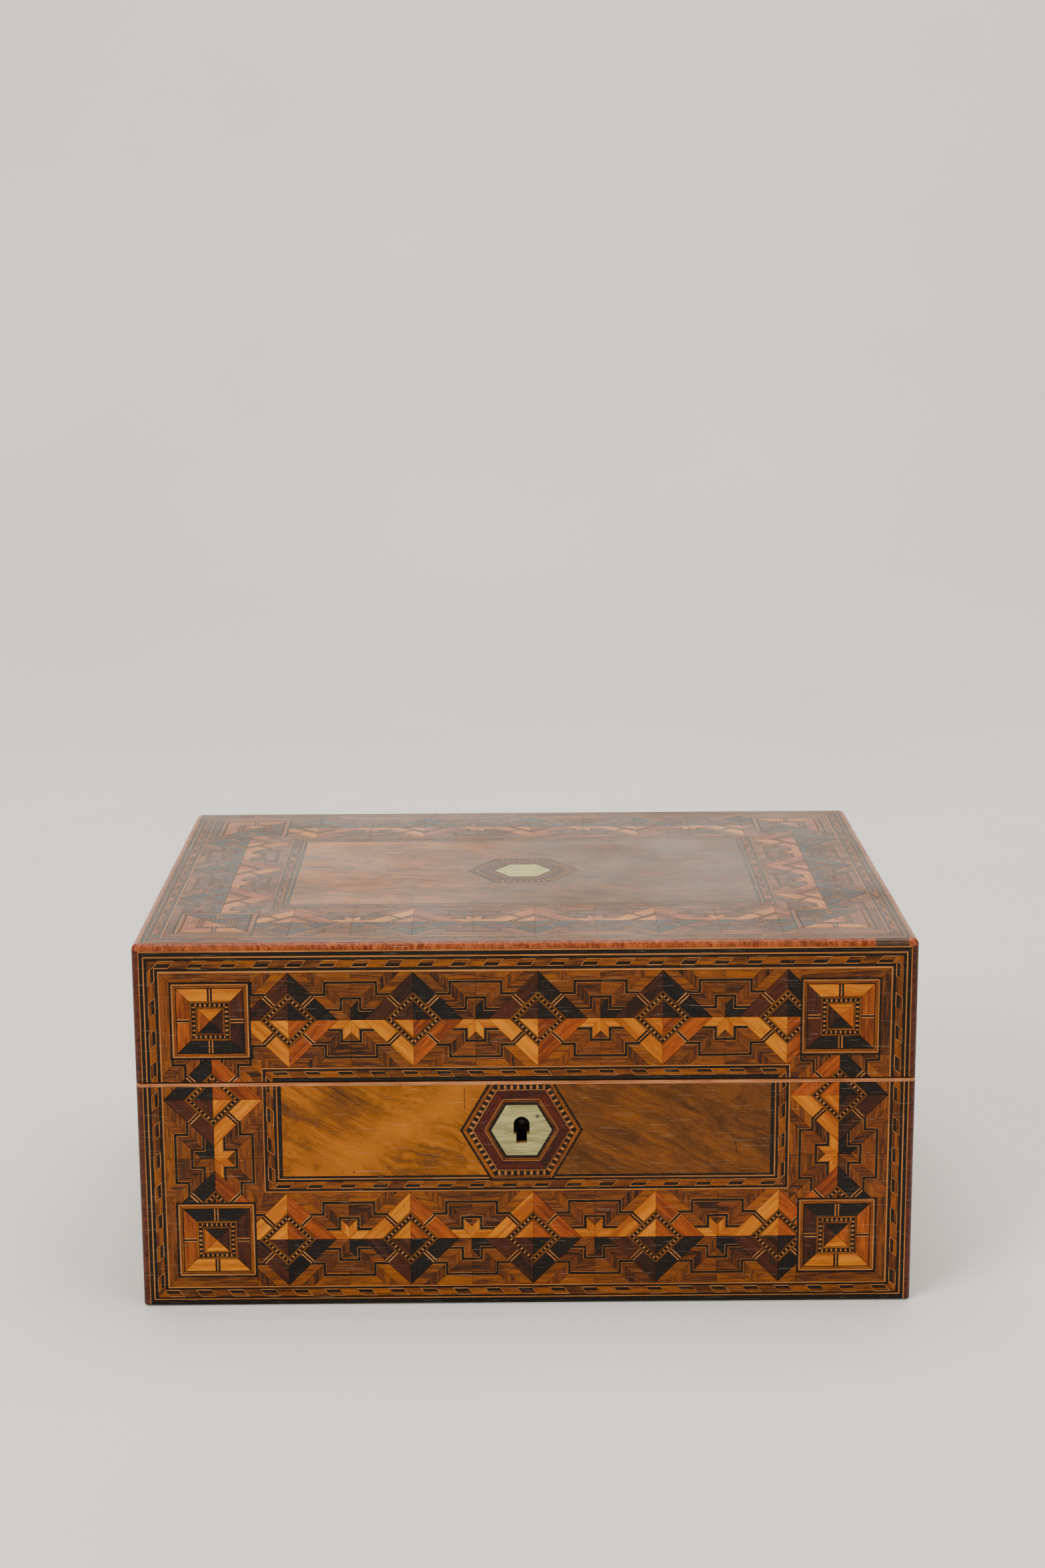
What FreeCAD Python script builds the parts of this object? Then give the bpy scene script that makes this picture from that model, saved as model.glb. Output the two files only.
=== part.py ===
"""An inlaid wooden box: a carcass of boards under parquetry veneers, a hinged lid, a lined well and a lock.

Millimetres.  +X is to the right, the front faces -Y, +Z is up; the origin is at the middle of the underside.
"""

import FreeCAD, Part
import os
import re

SIZES = [
    ("case_width", 305.0, "outside width, along X"),
    ("case_depth", 228.0, "outside depth, along Y"),
    ("case_height", 149.0, "outside height with the lid shut"),
    ("seam", 93.0, "height of the joint between base and lid"),
    ("seam_gap", 0.6, "clear gap between base and lid"),
    ("baize", 0.8, "thickness of the cloth under the base"),
    ("baize_inset", 1.2, "how far the cloth under the base stays inside its edges"),
    ("bottom", 6.0, "thickness of the bottom board"),
    ("board", 8.0, "thickness of the base's walls"),
    ("lid_relief", 0.4, "how much thinner the lid's walls are, so that they clear the lining"),
    ("top_board", 6.0, "thickness of the lid's top board"),
    ("veneer", 1.0, "thickness of veneer and parquetry"),
    ("strip", 2.6, "width of the rounded edge strips"),
    ("strip_round", 2.5, "radius of the rounded edge strips"),
    ("patch_start", 17.0, "from the right end of the lid's front strip to the start of its replaced piece"),
    ("patch_end", 4.0, "from the right end of the lid's front strip to the end of its replaced piece"),
    ("facing", 1.3, "height of the pale facing on the base's rim"),
    ("hex_out", 24.1, "corner radius of a hexagonal surround"),
    ("hex_in", 11.9, "corner radius of a mother-of-pearl hexagon"),
    ("hex_x", -1.9, "middle of the keyhole hexagon along X"),
    ("hex_z", 72.6, "height of the keyhole hexagon's middle"),
    ("keyhole_z", 75.0, "height of the keyhole's round part"),
    ("keyhole_round", 3.15, "radius of the keyhole's round part"),
    ("keyhole_slot", 4.2, "width of the keyhole's slot"),
    ("keyhole_low", 67.2, "height of the keyhole slot's foot"),
    ("cheek", 4.0, "height of the keyhole's straight sides below its round part"),
    ("cheek_lap", 1.0, "how far the keyhole's foot is cut up between those sides"),
    ("liner", 3.0, "thickness of the inner lining boards"),
    ("lip", 5.0, "how far the lining stands above the base's rim"),
    ("floor_pad", 4.0, "thickness of the padded panel on the floor"),
    ("lid_pad", 8.0, "thickness of the padded panel in the lid"),
    ("pad_gap", 0.5, "clearance round a padded panel"),
    ("frame_wide", 7.0, "width of the moulding round the lid's padded panel"),
    ("frame_tall", 6.0, "depth of that moulding"),
    ("hinge_x", 92.0, "middle of each hinge along X"),
    ("hinge_long", 38.0, "length of a hinge"),
    ("leaf_wide", 7.0, "width of a hinge leaf on the wood"),
    ("leaf", 1.2, "thickness of a hinge leaf"),
    ("knuckle", 2.2, "outer radius of the knuckles"),
    ("knuckle_gap", 0.2, "end clearance between knuckles"),
    ("knuckle_room", 0.4, "clearance between the knuckles and the wood"),
    ("pin", 1.1, "radius of a hinge pin"),
    ("pin_clear", 0.05, "radial clearance of a hinge pin in the lid's knuckles"),
    ("axis_proud", 0.6, "how far behind the back face the hinge axis lies"),
    ("tongue", 1.5, "from the hinge axis to the end of a leaf's tongue, inside its knuckle"),
    ("screw_head", 1.7, "radius of a screw's head"),
    ("screw_shank", 0.9, "radius of a screw's shank"),
    ("screw_long", 6.0, "length of a screw"),
    ("screw_sink", 0.9, "depth of a screw's countersunk head"),
    ("lock_half", 24.0, "half the lock's width"),
    ("ledge_short", 2.0, "how far the ledge under the bolt stops short of each end of the lock"),
    ("screw_in", 4.0, "from each end of the lock, and of its link plate, to the screws there"),
    ("low_screws", 5.0, "height of the lower lock screws above the lock's foot"),
    ("high_screws", 14.0, "height of the upper lock screws above the lock's foot"),
    ("lock_low", 62.0, "height of the lock's lower edge"),
    ("lock_deep", 6.0, "depth of the lock in the front board"),
    ("lock_plate", 1.2, "thickness of the lock's back plate"),
    ("selvage", 1.5, "thickness of the lock's top plate"),
    ("link", 1.5, "thickness of the link plate in the lid"),
    ("staple_x", 14.0, "middle of each staple from the middle of the lock"),
    ("staple_thick", 2.0, "thickness of a staple along X"),
    ("staple_wide", 3.6, "width of a staple along Y"),
    ("staple_low", 83.4, "height of a staple's tip"),
    ("eye_low", 85.0, "height of the foot of a staple's eye"),
    ("eye_tall", 3.6, "height of a staple's eye"),
    ("eye_wide", 2.0, "width of a staple's eye along Y"),
    ("slot_clear", 0.5, "clearance round a staple in the top plate"),
    ("bolt_low", 80.0, "height of the bolt's lower edge"),
    ("bolt_tall", 3.0, "height of the bolt's bar"),
    ("talon", 4.4, "width of the notch that the key pushes"),
    ("talon_deep", 1.2, "depth of the notch that the key pushes"),
    ("bolt_thick", 2.4, "thickness of the bolt's bar"),
    ("finger_thick", 1.2, "thickness of the bolt's fingers"),
    ("finger_tall", 2.4, "height of the bolt's fingers"),
    ("finger_gap", 0.6, "from a finger's tip to its staple with the lock open"),
    ("finger_long", 7.0, "length of a finger"),
    ("finger_post", 2.4, "width of the post that carries a finger"),
    ("ledge", 1.4, "thickness of the ledge that the bolt slides on"),
    ("slide_clear", 0.1, "clearance between the bolt and its ledge"),
    ("drill_pin", 1.0, "radius of the pin that the key turns on"),
    ("spring_thick", 0.4, "thickness of the lock's leaf spring"),
    ("spring_gap", 0.2, "clearance between the bolt and the leaf spring"),
    ("spring_long", 11.0, "length of the leaf spring"),
    ("spring_foot", 3.0, "width of the leaf spring's foot"),
]
ALIASES = {alias for alias, _, _ in SIZES}
KNUCKLES = 5
SCREWS_IN_LEAF = 3
ROUND_STEP = 1e-3

doc = FreeCAD.newDocument("InlaidBox")
sheet = doc.addObject("Spreadsheet::Sheet", "Sizes")
for row, (alias, value, note) in enumerate(SIZES, start=1):
    sheet.set(f"A{row}", note)
    sheet.set(f"B{row}", str(value))
    sheet.setAlias(f"B{row}", alias)
doc.recompute()
nodes = []

# Planes that many pieces share, as expressions on the sheet.
HALF_X = "(case_width / 2)"
HALF_Y = "(case_depth / 2)"
BOARD_X = "(case_width / 2 - veneer)"
BOARD_Y = "(case_depth / 2 - veneer)"
INNER_X = "(case_width / 2 - veneer - board)"
INNER_Y = "(case_depth / 2 - veneer - board)"
LID_X = f"({INNER_X} + lid_relief)"
LID_Y = f"({INNER_Y} + lid_relief)"
LINER_X = f"({INNER_X} - liner)"
LINER_Y = f"({INNER_Y} - liner)"
STRIP_X = "(case_width / 2 - strip)"
STRIP_Y = "(case_depth / 2 - strip)"
STRIP_Z = "(case_height - strip)"
FLOOR = "(baize + bottom)"
RIM = "(seam - seam_gap / 2)"
WALL_TOP = f"({RIM} - facing)"
LID_LOW = "(seam + seam_gap / 2)"
LID_CEILING = "(case_height - veneer - top_board)"
AXIS_Y = "(case_depth / 2 + axis_proud)"
LOCK_Y = f"(-{INNER_Y} - lock_plate - (lock_deep - lock_plate) / 2)"
SIDES = (("left", -1), ("right", 1))
ENDS = (("front", -1), ("back", 1))


def on_sheet(text):
    """The expression with each alias written as a cell of the sheet."""
    return re.sub(r"[a-z][a-z_]+", lambda m: f"Sizes.{m[0]}" if m[0] in ALIASES else m[0], str(text))


def bind(item, **expressions):
    """Binds properties of a feature to expressions; a double underscore stands for a dot."""
    for prop, text in expressions.items():
        item.setExpression(prop.replace("__", "."), on_sheet(text))
    return item


def place(item, x, y, z):
    return bind(item, Placement__Base__x=x, Placement__Base__y=y, Placement__Base__z=z)


def span(low, high, sign):
    """The range low to high, or its mirror image where sign is negative."""
    return (low, high) if sign > 0 else (f"-({high})", f"-({low})")


def both(half, middle="0"):
    """The range half either side of a middle."""
    return (f"({middle}) - ({half})", f"({middle}) + ({half})")


def box(name, x, y, z):
    """A block between two planes along each axis."""
    item = doc.addObject("Part::Box", name)
    place(item, x[0], y[0], z[0])
    lengths = [f"({high}) - ({low})" for low, high in (x, y, z)]
    return bind(item, Length=lengths[0], Width=lengths[1], Height=lengths[2])


def turned(item, axis, degrees):
    item.Placement = FreeCAD.Placement(FreeCAD.Vector(), FreeCAD.Rotation(FreeCAD.Vector(*axis), degrees))
    return item


ALONG = {"x": ((0, 1, 0), 90), "y": ((1, 0, 0), -90), "z": ((0, 0, 1), 0), "down": ((1, 0, 0), 180)}


def cylinder(name, way, radius, length, x, y, z):
    """A cylinder that starts at a point and runs along an axis."""
    item = turned(doc.addObject("Part::Cylinder", name), *ALONG[way])
    place(item, x, y, z)
    return bind(item, Radius=radius, Height=length)


def hexagon(name, way, radius, length, x, y, z):
    """A hexagonal prism with two corners along X."""
    item = turned(doc.addObject("Part::Prism", name), *ALONG[way])
    item.Polygon = 6
    place(item, x, y, z)
    return bind(item, Circumradius=radius, Height=length)


def fuse(name, shapes):
    item = doc.addObject("Part::MultiFuse", name)
    item.Shapes = list(shapes)
    item.Refine = True
    return item


def cut(name, base, tools):
    item = doc.addObject("Part::Cut", name)
    item.Base = base
    item.Tool = tools[0] if len(tools) == 1 else group(f"{name}_tools", tools)
    return item


def common(name, first, second):
    item = doc.addObject("Part::Common", name)
    item.Base = first
    item.Tool = second
    return item


def group(name, shapes):
    item = doc.addObject("Part::Compound", name)
    item.Links = list(shapes)
    return item


def keep(label, item):
    """Names a finished sub-part; its label is the name of its file."""
    item.Label = label
    nodes.append(item)
    return item


def rounded_block(name, low, with_top):
    """The outside of the base or lid as one block, its upright edges rounded, and its upper ones if asked."""
    top = "case_height" if with_top else RIM
    block = box(f"{name}_block", both(HALF_X), both(HALF_Y), (low, top))
    doc.recompute()
    rounded = doc.addObject("Part::Fillet", f"{name}_rounded")
    rounded.Base = block
    height = block.Shape.BoundBox.ZMax
    radius = sheet.get("strip_round")
    chosen = []
    for number, edge in enumerate(block.Shape.Edges, start=1):
        ends = [vertex.Z for vertex in edge.Vertexes]
        upright = abs(ends[0] - ends[1]) > ROUND_STEP
        upper = min(ends) > height - ROUND_STEP
        if upright or (upper and with_top):
            chosen.append((number, radius, radius))
    rounded.Edges = chosen
    return rounded


def corner_squares(name, low, high):
    """The four upright square rods that the corner strips are shaped from."""
    rods = []
    for side, sx in SIDES:
        for end, sy in ENDS:
            rod = box(f"{name}_{end}_{side}", span(STRIP_X, HALF_X, sx), span(STRIP_Y, HALF_Y, sy), (low, high))
            rods.append(rod)
    return group(name, rods)


def screw(name, way, x, y, z):
    """A countersunk wood screw whose head is at a point; up, it drives along +Z, and in, along -Y."""
    turn = {"down": ((1, 0, 0), 180), "up": ((0, 0, 1), 0), "forward": ((1, 0, 0), 90)}[way]
    head = turned(doc.addObject("Part::Cone", f"{name}_head"), *turn)
    shank = turned(doc.addObject("Part::Cylinder", f"{name}_shank"), *turn)
    for piece in (head, shank):
        place(piece, x, y, z)
    bind(head, Radius1="screw_head", Radius2="screw_shank", Height="screw_sink")
    bind(shank, Radius="screw_shank", Height="screw_long")
    return fuse(name, [head, shank])


def keyhole(name, y_low, y_high):
    """The keyhole's outline as a tool: a round hole over a slot with a narrower foot."""
    length = f"({y_high}) - ({y_low})"
    eye = cylinder(f"{name}_round", "y", "keyhole_round", length, "hex_x", y_low, "keyhole_z")
    through = (y_low, y_high)
    cheeks = box(f"{name}_cheeks", both("keyhole_round", "hex_x"), through, ("keyhole_z - cheek", "keyhole_z"))
    foot_z = ("keyhole_low", "keyhole_z - cheek + cheek_lap")
    foot = box(f"{name}_foot", both("keyhole_slot / 2", "hex_x"), through, foot_z)
    return fuse(name, [eye, cheeks, foot])


# The hinges: two butt hinges let into the back rim, their pins just behind the back face.

def hinge_pieces():
    """Leaves, knuckles and pins of both hinges, and the tools that let them into the wood."""
    leaves = {"base": [], "lid": []}
    pins = []
    rooms = []
    pockets = {"base": [], "lid": []}
    screws = {"base": [], "lid": []}
    levels = {"base": (f"{RIM} - leaf", RIM), "lid": (LID_LOW, f"{LID_LOW} + leaf")}
    for side, sx in SIDES:
        start = f"({sx} * hinge_x - hinge_long / 2)"
        reach = (start, f"{start} + hinge_long")
        pins.append(cylinder(f"pin_{side}", "x", "pin", "hinge_long", start, AXIS_Y, "seam"))
        rooms.append(cylinder(
            f"knuckle_room_{side}", "x", "knuckle + knuckle_room", "hinge_long + 2 * knuckle_room",
            f"{start} - knuckle_room", AXIS_Y, "seam",
        ))
        for case, level in levels.items():
            flat = (f"{AXIS_Y} - knuckle - knuckle_room - leaf_wide", f"{AXIS_Y} - knuckle - knuckle_room")
            plate = box(f"{case}_leaf_{side}", reach, flat, level)
            pockets[case].append(box(f"{case}_pocket_{side}", reach, (flat[0], f"{AXIS_Y} - tongue"), level))
            pieces = [plate]
            bores = []
            for number in range(KNUCKLES):
                if (number % 2 == 0) != (case == "base"):
                    continue
                place_x = f"({start} + hinge_long * {number} / {KNUCKLES} + knuckle_gap / 2)"
                length = f"(hinge_long / {KNUCKLES} - knuckle_gap)"
                name = f"{case}_{side}_{number}"
                pieces.append(cylinder(f"knuckle_{name}", "x", "knuckle", length, place_x, AXIS_Y, "seam"))
                tongue = (f"{AXIS_Y} - knuckle - knuckle_room", f"{AXIS_Y} - tongue")
                pieces.append(box(f"tongue_{name}", (place_x, f"{place_x} + {length}"), tongue, level))
            bore = "pin" if case == "base" else "pin + pin_clear"
            bores.append(cylinder(f"bore_{case}_{side}", "x", bore, "hinge_long", start, AXIS_Y, "seam"))
            for number in range(SCREWS_IN_LEAF):
                x = f"({start} + hinge_long * ({number} + 0.5) / {SCREWS_IN_LEAF})"
                y = f"({AXIS_Y} - knuckle - knuckle_room - leaf_wide / 2)"
                way, z = ("down", RIM) if case == "base" else ("up", LID_LOW)
                screws[case].append(screw(f"{case}_screw_{side}_{number}", way, x, y, z))
            whole = fuse(f"{case}_leaf_whole_{side}", pieces)
            leaves[case].append(cut(f"{case}_leaf_cut_{side}", whole, bores + screws[case][-SCREWS_IN_LEAF:]))
    for case in levels:
        keep(f"hinge_{case}_leaves", group(f"{case}_leaves", leaves[case]))
        keep(f"hinge_{case}_screws", group(f"{case}_screws", screws[case]))
    keep("hinge_pins", group("pins", pins))
    return {case: pockets[case] + screws[case] + rooms for case in levels}


# The lock: a box lock let into the front board, whose bolt slides sideways through two staples on the lid.

def lock_pieces():
    """The lock, its link plate and their screws, with the tools that let them into the wood."""
    across = both("lock_half", "hex_x")
    depth = (f"-{INNER_Y} - lock_deep", f"-{INNER_Y}")
    hollow = box("lock_hollow", across, depth, ("lock_low", RIM))
    plate_y = (f"-{INNER_Y} - lock_plate", f"-{INNER_Y}")
    plate = box("lock_back_plate", across, plate_y, ("lock_low", f"{RIM} - selvage"))
    ledge_y = (f"-{INNER_Y} - lock_deep + slide_clear", f"-{INNER_Y} - lock_plate")
    ledge_z = ("bolt_low - slide_clear - ledge", "bolt_low - slide_clear")
    ledge = box("lock_ledge", both("lock_half - ledge_short", "hex_x"), ledge_y, ledge_z)
    screws = []
    for side, sx in SIDES:
        for level, height in (("low", "lock_low + low_screws"), ("high", "lock_low + high_screws")):
            name = f"lock_screw_{level}_{side}"
            across_to = f"hex_x + {sx} * (lock_half - screw_in)"
            screws.append(screw(name, "forward", across_to, f"-{INNER_Y}", height))
    keep("lock_plate", cut("lock_plate_cut", fuse("lock_plate_whole", [plate, ledge]), screws))
    keep("lock_screws", group("lock_screw_set", screws))
    pin_long = "lock_deep - lock_plate - slide_clear"
    pin_start = f"{depth[0]} + slide_clear"
    keep("lock_drill_pin", cylinder("drill_pin_rod", "y", "drill_pin", pin_long, "hex_x", pin_start, "keyhole_z"))

    slots, staples, fingers = [], [], []
    for side, sx in SIDES:
        middle = f"(hex_x + {sx} * staple_x)"
        thick, wide = "staple_thick / 2", "staple_wide / 2"
        room = (both(f"{thick} + slot_clear", middle), both(f"{wide} + slot_clear", LOCK_Y))
        slots.append(box(f"slot_{side}", *room, (f"{RIM} - selvage", RIM)))
        body = box(f"staple_body_{side}", both(thick, middle), both(wide, LOCK_Y), ("staple_low", LID_LOW))
        eye_z = ("eye_low", "eye_low + eye_tall")
        eye = box(f"staple_eye_{side}", both("staple_thick", middle), both("eye_wide / 2", LOCK_Y), eye_z)
        staples.append(cut(f"staple_{side}", body, [eye]))
        tip = f"({middle} - {thick} - finger_gap)"
        finger_low = "(eye_low + (eye_tall - finger_tall) / 2)"
        tall = (finger_low, f"{finger_low} + finger_tall")
        slim = both("finger_thick / 2", LOCK_Y)
        fingers.append(box(f"finger_{side}", (f"{tip} - finger_long", tip), slim, tall))
        post = (f"{tip} - finger_long", f"{tip} - finger_long + finger_post")
        fingers.append(box(f"post_{side}", post, slim, ("bolt_low", tall[1])))
    bar_start = "(hex_x - staple_x - staple_thick / 2 - finger_gap - finger_long)"
    bar_end = "(hex_x + staple_x - staple_thick / 2 - finger_gap)"
    bar = box("bolt_bar", (bar_start, bar_end), both("bolt_thick / 2", LOCK_Y), ("bolt_low", "bolt_low + bolt_tall"))
    notch_z = ("bolt_low - talon_deep", "bolt_low + talon_deep")
    notch = box("bolt_notch", both("talon / 2", "hex_x"), both("bolt_thick", LOCK_Y), notch_z)
    keep("lock_bolt", cut("bolt_cut", fuse("bolt_whole", [bar] + fingers), [notch]))
    top = box("selvage_block", across, depth, (f"{RIM} - selvage", RIM))
    keep("lock_top_plate", cut("selvage_cut", top, slots))
    spring_z = ("bolt_low + bolt_tall + spring_gap", "bolt_low + bolt_tall + spring_gap + spring_thick")
    spring_reach = ("hex_x - spring_long", "hex_x")
    leaf = box("spring_leaf", spring_reach, both("bolt_thick / 2", LOCK_Y), spring_z)
    foot_x = ("hex_x - spring_foot", "hex_x")
    foot = box("spring_end", foot_x, (f"{LOCK_Y} - bolt_thick / 2", f"-{INNER_Y} - lock_plate"), spring_z)
    keep("lock_spring", fuse("spring_whole", [leaf, foot]))

    link_box = box("link_block", across, (depth[0], f"-{LID_Y}"), (LID_LOW, f"{LID_LOW} + link"))
    link_screws = []
    for number, x in enumerate(("hex_x - lock_half + screw_in", "hex_x", "hex_x + lock_half - screw_in")):
        link_screws.append(screw(f"link_screw_{number}", "up", x, LOCK_Y, LID_LOW))
    keep("link_plate", cut("link_plate_cut", link_box, link_screws))
    keep("link_staples", group("staple_pair", staples))
    keep("link_screws", group("link_screw_set", link_screws))
    way_in = keyhole("keyhole_way", f"-{BOARD_Y}", f"{depth[0]}")
    return [hollow, way_in] + screws, [link_box] + link_screws


def base_carcass(hinge_tools, lock_tools):
    """The base's boards, the facing on its rim and the cloth under it."""
    corners = corner_squares("base_corner_rods", "baize", WALL_TOP)
    wall = ("baize", WALL_TOP)
    for end, sy in ENDS:
        block = box(f"base_{end}_block", both(BOARD_X), span(INNER_Y, BOARD_Y, sy), wall)
        tools = [corners] + (lock_tools if end == "front" else hinge_tools)
        keep(f"base_{end}_board", cut(f"base_{end}_cut", block, tools))
    for side, sx in SIDES:
        block = box(f"base_{side}_block", span(INNER_X, BOARD_X, sx), both(INNER_Y), wall)
        keep(f"base_{side}_board", block)
    keep("base_bottom_board", box("bottom_block", both(INNER_X), both(INNER_Y), ("baize", FLOOR)))
    cloth = box("baize_sheet", both(f"{HALF_X} - baize_inset"), both(f"{HALF_Y} - baize_inset"), ("0", "baize"))
    keep("underside_baize", cloth)
    outside = rounded_block("base", "baize", False)
    keep("base_corner_strips", common("base_strips", outside, corner_squares("base_strip_rods", "baize", WALL_TOP)))
    ring = cut(
        "facing_ring",
        box("facing_block", both(HALF_X), both(HALF_Y), (WALL_TOP, RIM)),
        [box("facing_hole", both(INNER_X), both(INNER_Y), (WALL_TOP, RIM))] + hinge_tools + lock_tools,
    )
    keep("base_rim_facing", common("facing_rounded", outside, ring))


def lid_carcass(hinge_tools, link_tools):
    """The lid's boards and the strips on its edges."""
    corners = corner_squares("lid_corner_rods", LID_LOW, "case_height")
    wall = (LID_LOW, LID_CEILING)
    for end, sy in ENDS:
        block = box(f"lid_{end}_block", both(BOARD_X), span(LID_Y, BOARD_Y, sy), wall)
        tools = [corners] + (link_tools if end == "front" else hinge_tools)
        keep(f"lid_{end}_board", cut(f"lid_{end}_cut", block, tools))
    for side, sx in SIDES:
        keep(f"lid_{side}_board", box(f"lid_{side}_block", span(LID_X, BOARD_X, sx), both(LID_Y), wall))
    lower = box("top_lower", both(BOARD_X), both(BOARD_Y), (LID_CEILING, STRIP_Z))
    upper = box("top_upper", both(STRIP_X), both(STRIP_Y), (STRIP_Z, "case_height - veneer"))
    keep("lid_top_board", cut("top_cut", fuse("top_whole", [lower, upper]), [corners]))
    outside = rounded_block("lid", LID_LOW, True)
    keep("lid_corner_strips", common("lid_strips", outside, corner_squares("lid_strip_rods", LID_LOW, STRIP_Z)))
    level = (STRIP_Z, "case_height")
    front_y = span(STRIP_Y, HALF_Y, -1)
    patch = box("patch_block", (f"{HALF_X} - patch_start", f"{HALF_X} - patch_end"), front_y, level)
    front = cut("front_run", box("front_rod", both(HALF_X), front_y, level), [patch])
    back = box("back_rod", both(HALF_X), span(STRIP_Y, HALF_Y, 1), level)
    keep("lid_front_strip", common("front_strip_round", outside, front))
    keep("lid_strip_patch", common("patch_round", outside, patch))
    keep("lid_back_strip", common("back_strip_round", outside, back))
    for side, sx in SIDES:
        rod = box(f"{side}_rod", span(STRIP_X, HALF_X, sx), both(STRIP_Y), level)
        keep(f"lid_{side}_strip", common(f"{side}_strip_round", outside, rod))


def veneers(hinge_tools):
    """The parquetry faces, with the mother-of-pearl hexagons and their surrounds let into two of them."""
    front_y = span(BOARD_Y, HALF_Y, -1)
    hexes = {}
    for size in ("hex_out", "hex_in"):
        hexes["front", size] = hexagon(f"front_{size}", "y", size, "veneer", "hex_x", f"-{HALF_Y}", "hex_z")
        hexes["top", size] = hexagon(f"top_{size}", "z", size, "veneer", "0", "0", "case_height - veneer")
    for case, low, high in (("base", "baize", WALL_TOP), ("lid", LID_LOW, STRIP_Z)):
        for end, sy in ENDS:
            sheet_of_wood = box(f"{case}_{end}_sheet", both(STRIP_X), span(BOARD_Y, HALF_Y, sy), (low, high))
            if end == "back":
                sheet_of_wood = cut(f"{case}_back_let", sheet_of_wood, hinge_tools[case])
            elif case == "base":
                sheet_of_wood = cut("front_let", sheet_of_wood, [hexes["front", "hex_out"]])
            keep(f"{case}_{end}_veneer", sheet_of_wood)
        for side, sx in SIDES:
            name = f"{case}_{side}_veneer"
            keep(name, box(f"{name}_sheet", span(BOARD_X, HALF_X, sx), both(STRIP_Y), (low, high)))
    top = box("top_sheet", both(STRIP_X), both(STRIP_Y), ("case_height - veneer", "case_height"))
    keep("lid_top_veneer", cut("top_let", top, [hexes["top", "hex_out"]]))
    keep("plaque_surround", cut("plaque_ring", hexes["top", "hex_out"], [hexes["top", "hex_in"]]))
    keep("lid_plaque", hexes["top", "hex_in"])
    below_rim = box("below_rim", both("hex_out", "hex_x"), front_y, ("hex_z - hex_out", WALL_TOP))
    ring = cut("keyhole_ring", hexes["front", "hex_out"], [hexes["front", "hex_in"]])
    keep("keyhole_surround", common("keyhole_ring_low", ring, below_rim))
    keep("keyhole_plate", cut("pearl_cut", hexes["front", "hex_in"], [keyhole("pearl_keyhole", *front_y)]))


def lining():
    """The lining of the well and the padded panels."""
    tall = (FLOOR, f"{RIM} + lip")
    for end, sy in ENDS:
        keep(f"lining_{end}", box(f"lining_{end}_board", both(INNER_X), span(LINER_Y, INNER_Y, sy), tall))
    for side, sx in SIDES:
        keep(f"lining_{side}", box(f"lining_{side}_board", span(LINER_X, INNER_X, sx), both(LINER_Y), tall))
    pad_z = (FLOOR, f"{FLOOR} + floor_pad")
    keep("floor_pad", box("floor_pad_block", both(f"{LINER_X} - pad_gap"), both(f"{LINER_Y} - pad_gap"), pad_z))
    level = (f"{LID_CEILING} - frame_tall", LID_CEILING)
    rim = box("lid_frame_block", both(LID_X), both(LID_Y), level)
    hole = box("lid_frame_hole", both(f"{LID_X} - frame_wide"), both(f"{LID_Y} - frame_wide"), level)
    keep("lid_pad_frame", cut("lid_frame_cut", rim, [hole]))
    room = "- frame_wide - pad_gap"
    pad_level = (f"{LID_CEILING} - lid_pad", LID_CEILING)
    keep("lid_pad", box("lid_pad_block", both(f"{LID_X} {room}"), both(f"{LID_Y} {room}"), pad_level))


hinge_rooms = hinge_pieces()
lock_rooms, link_rooms = lock_pieces()
base_carcass(hinge_rooms["base"], lock_rooms)
lid_carcass(hinge_rooms["lid"], link_rooms)
veneers(hinge_rooms)
lining()
doc.recompute()

failed = [item.Name for item in doc.Objects if {"Invalid", "Error"} & set(item.State)]
if failed:
    raise RuntimeError(f"these features failed: {failed}")
for node in nodes:
    if node.Shape.isNull() or not node.Shape.isValid() or not node.Shape.Solids:
        raise RuntimeError(f"{node.Label} has no valid solid")
os.makedirs("parts", exist_ok=True)
for node in nodes:
    node.Shape.exportStep(f"parts/{node.Label}.step")
    print(f"{node.Label}: {len(node.Shape.Solids)} solids, {node.Shape.Volume / 1000:.2f} cm3")
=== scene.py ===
"""The inlaid box's finish: parquetry laid tile by tile, polished strips, brass, shell, baize and padding.

Layouts are drawn in millimetres on each face, and Blender's own lengths are metres.
"""

import math

import bmesh
import bpy
import numpy as np
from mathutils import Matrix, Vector


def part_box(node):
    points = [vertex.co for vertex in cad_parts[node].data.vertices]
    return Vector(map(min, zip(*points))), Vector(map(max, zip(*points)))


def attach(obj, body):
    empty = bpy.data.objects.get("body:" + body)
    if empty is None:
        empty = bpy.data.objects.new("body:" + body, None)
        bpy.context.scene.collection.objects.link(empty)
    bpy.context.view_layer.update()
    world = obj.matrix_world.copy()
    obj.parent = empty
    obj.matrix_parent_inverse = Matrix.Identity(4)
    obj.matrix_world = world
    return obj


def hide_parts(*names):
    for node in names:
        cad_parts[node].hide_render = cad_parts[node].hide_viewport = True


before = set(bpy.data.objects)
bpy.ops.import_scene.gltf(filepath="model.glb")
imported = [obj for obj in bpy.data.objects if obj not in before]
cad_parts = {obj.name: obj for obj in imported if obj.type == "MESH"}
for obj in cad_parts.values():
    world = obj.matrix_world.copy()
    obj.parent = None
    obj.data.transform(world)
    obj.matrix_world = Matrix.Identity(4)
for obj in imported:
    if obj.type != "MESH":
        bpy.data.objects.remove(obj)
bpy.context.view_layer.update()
MM = 0.001
rng = np.random.default_rng(1860)

# ---------------------------------------------------------------- geometry on a flat face


def shift(x, y):
    """A move on the face, as a 3 by 3 spot."""
    return np.array([[1.0, 0, x], [0, 1, y], [0, 0, 1]])


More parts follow.
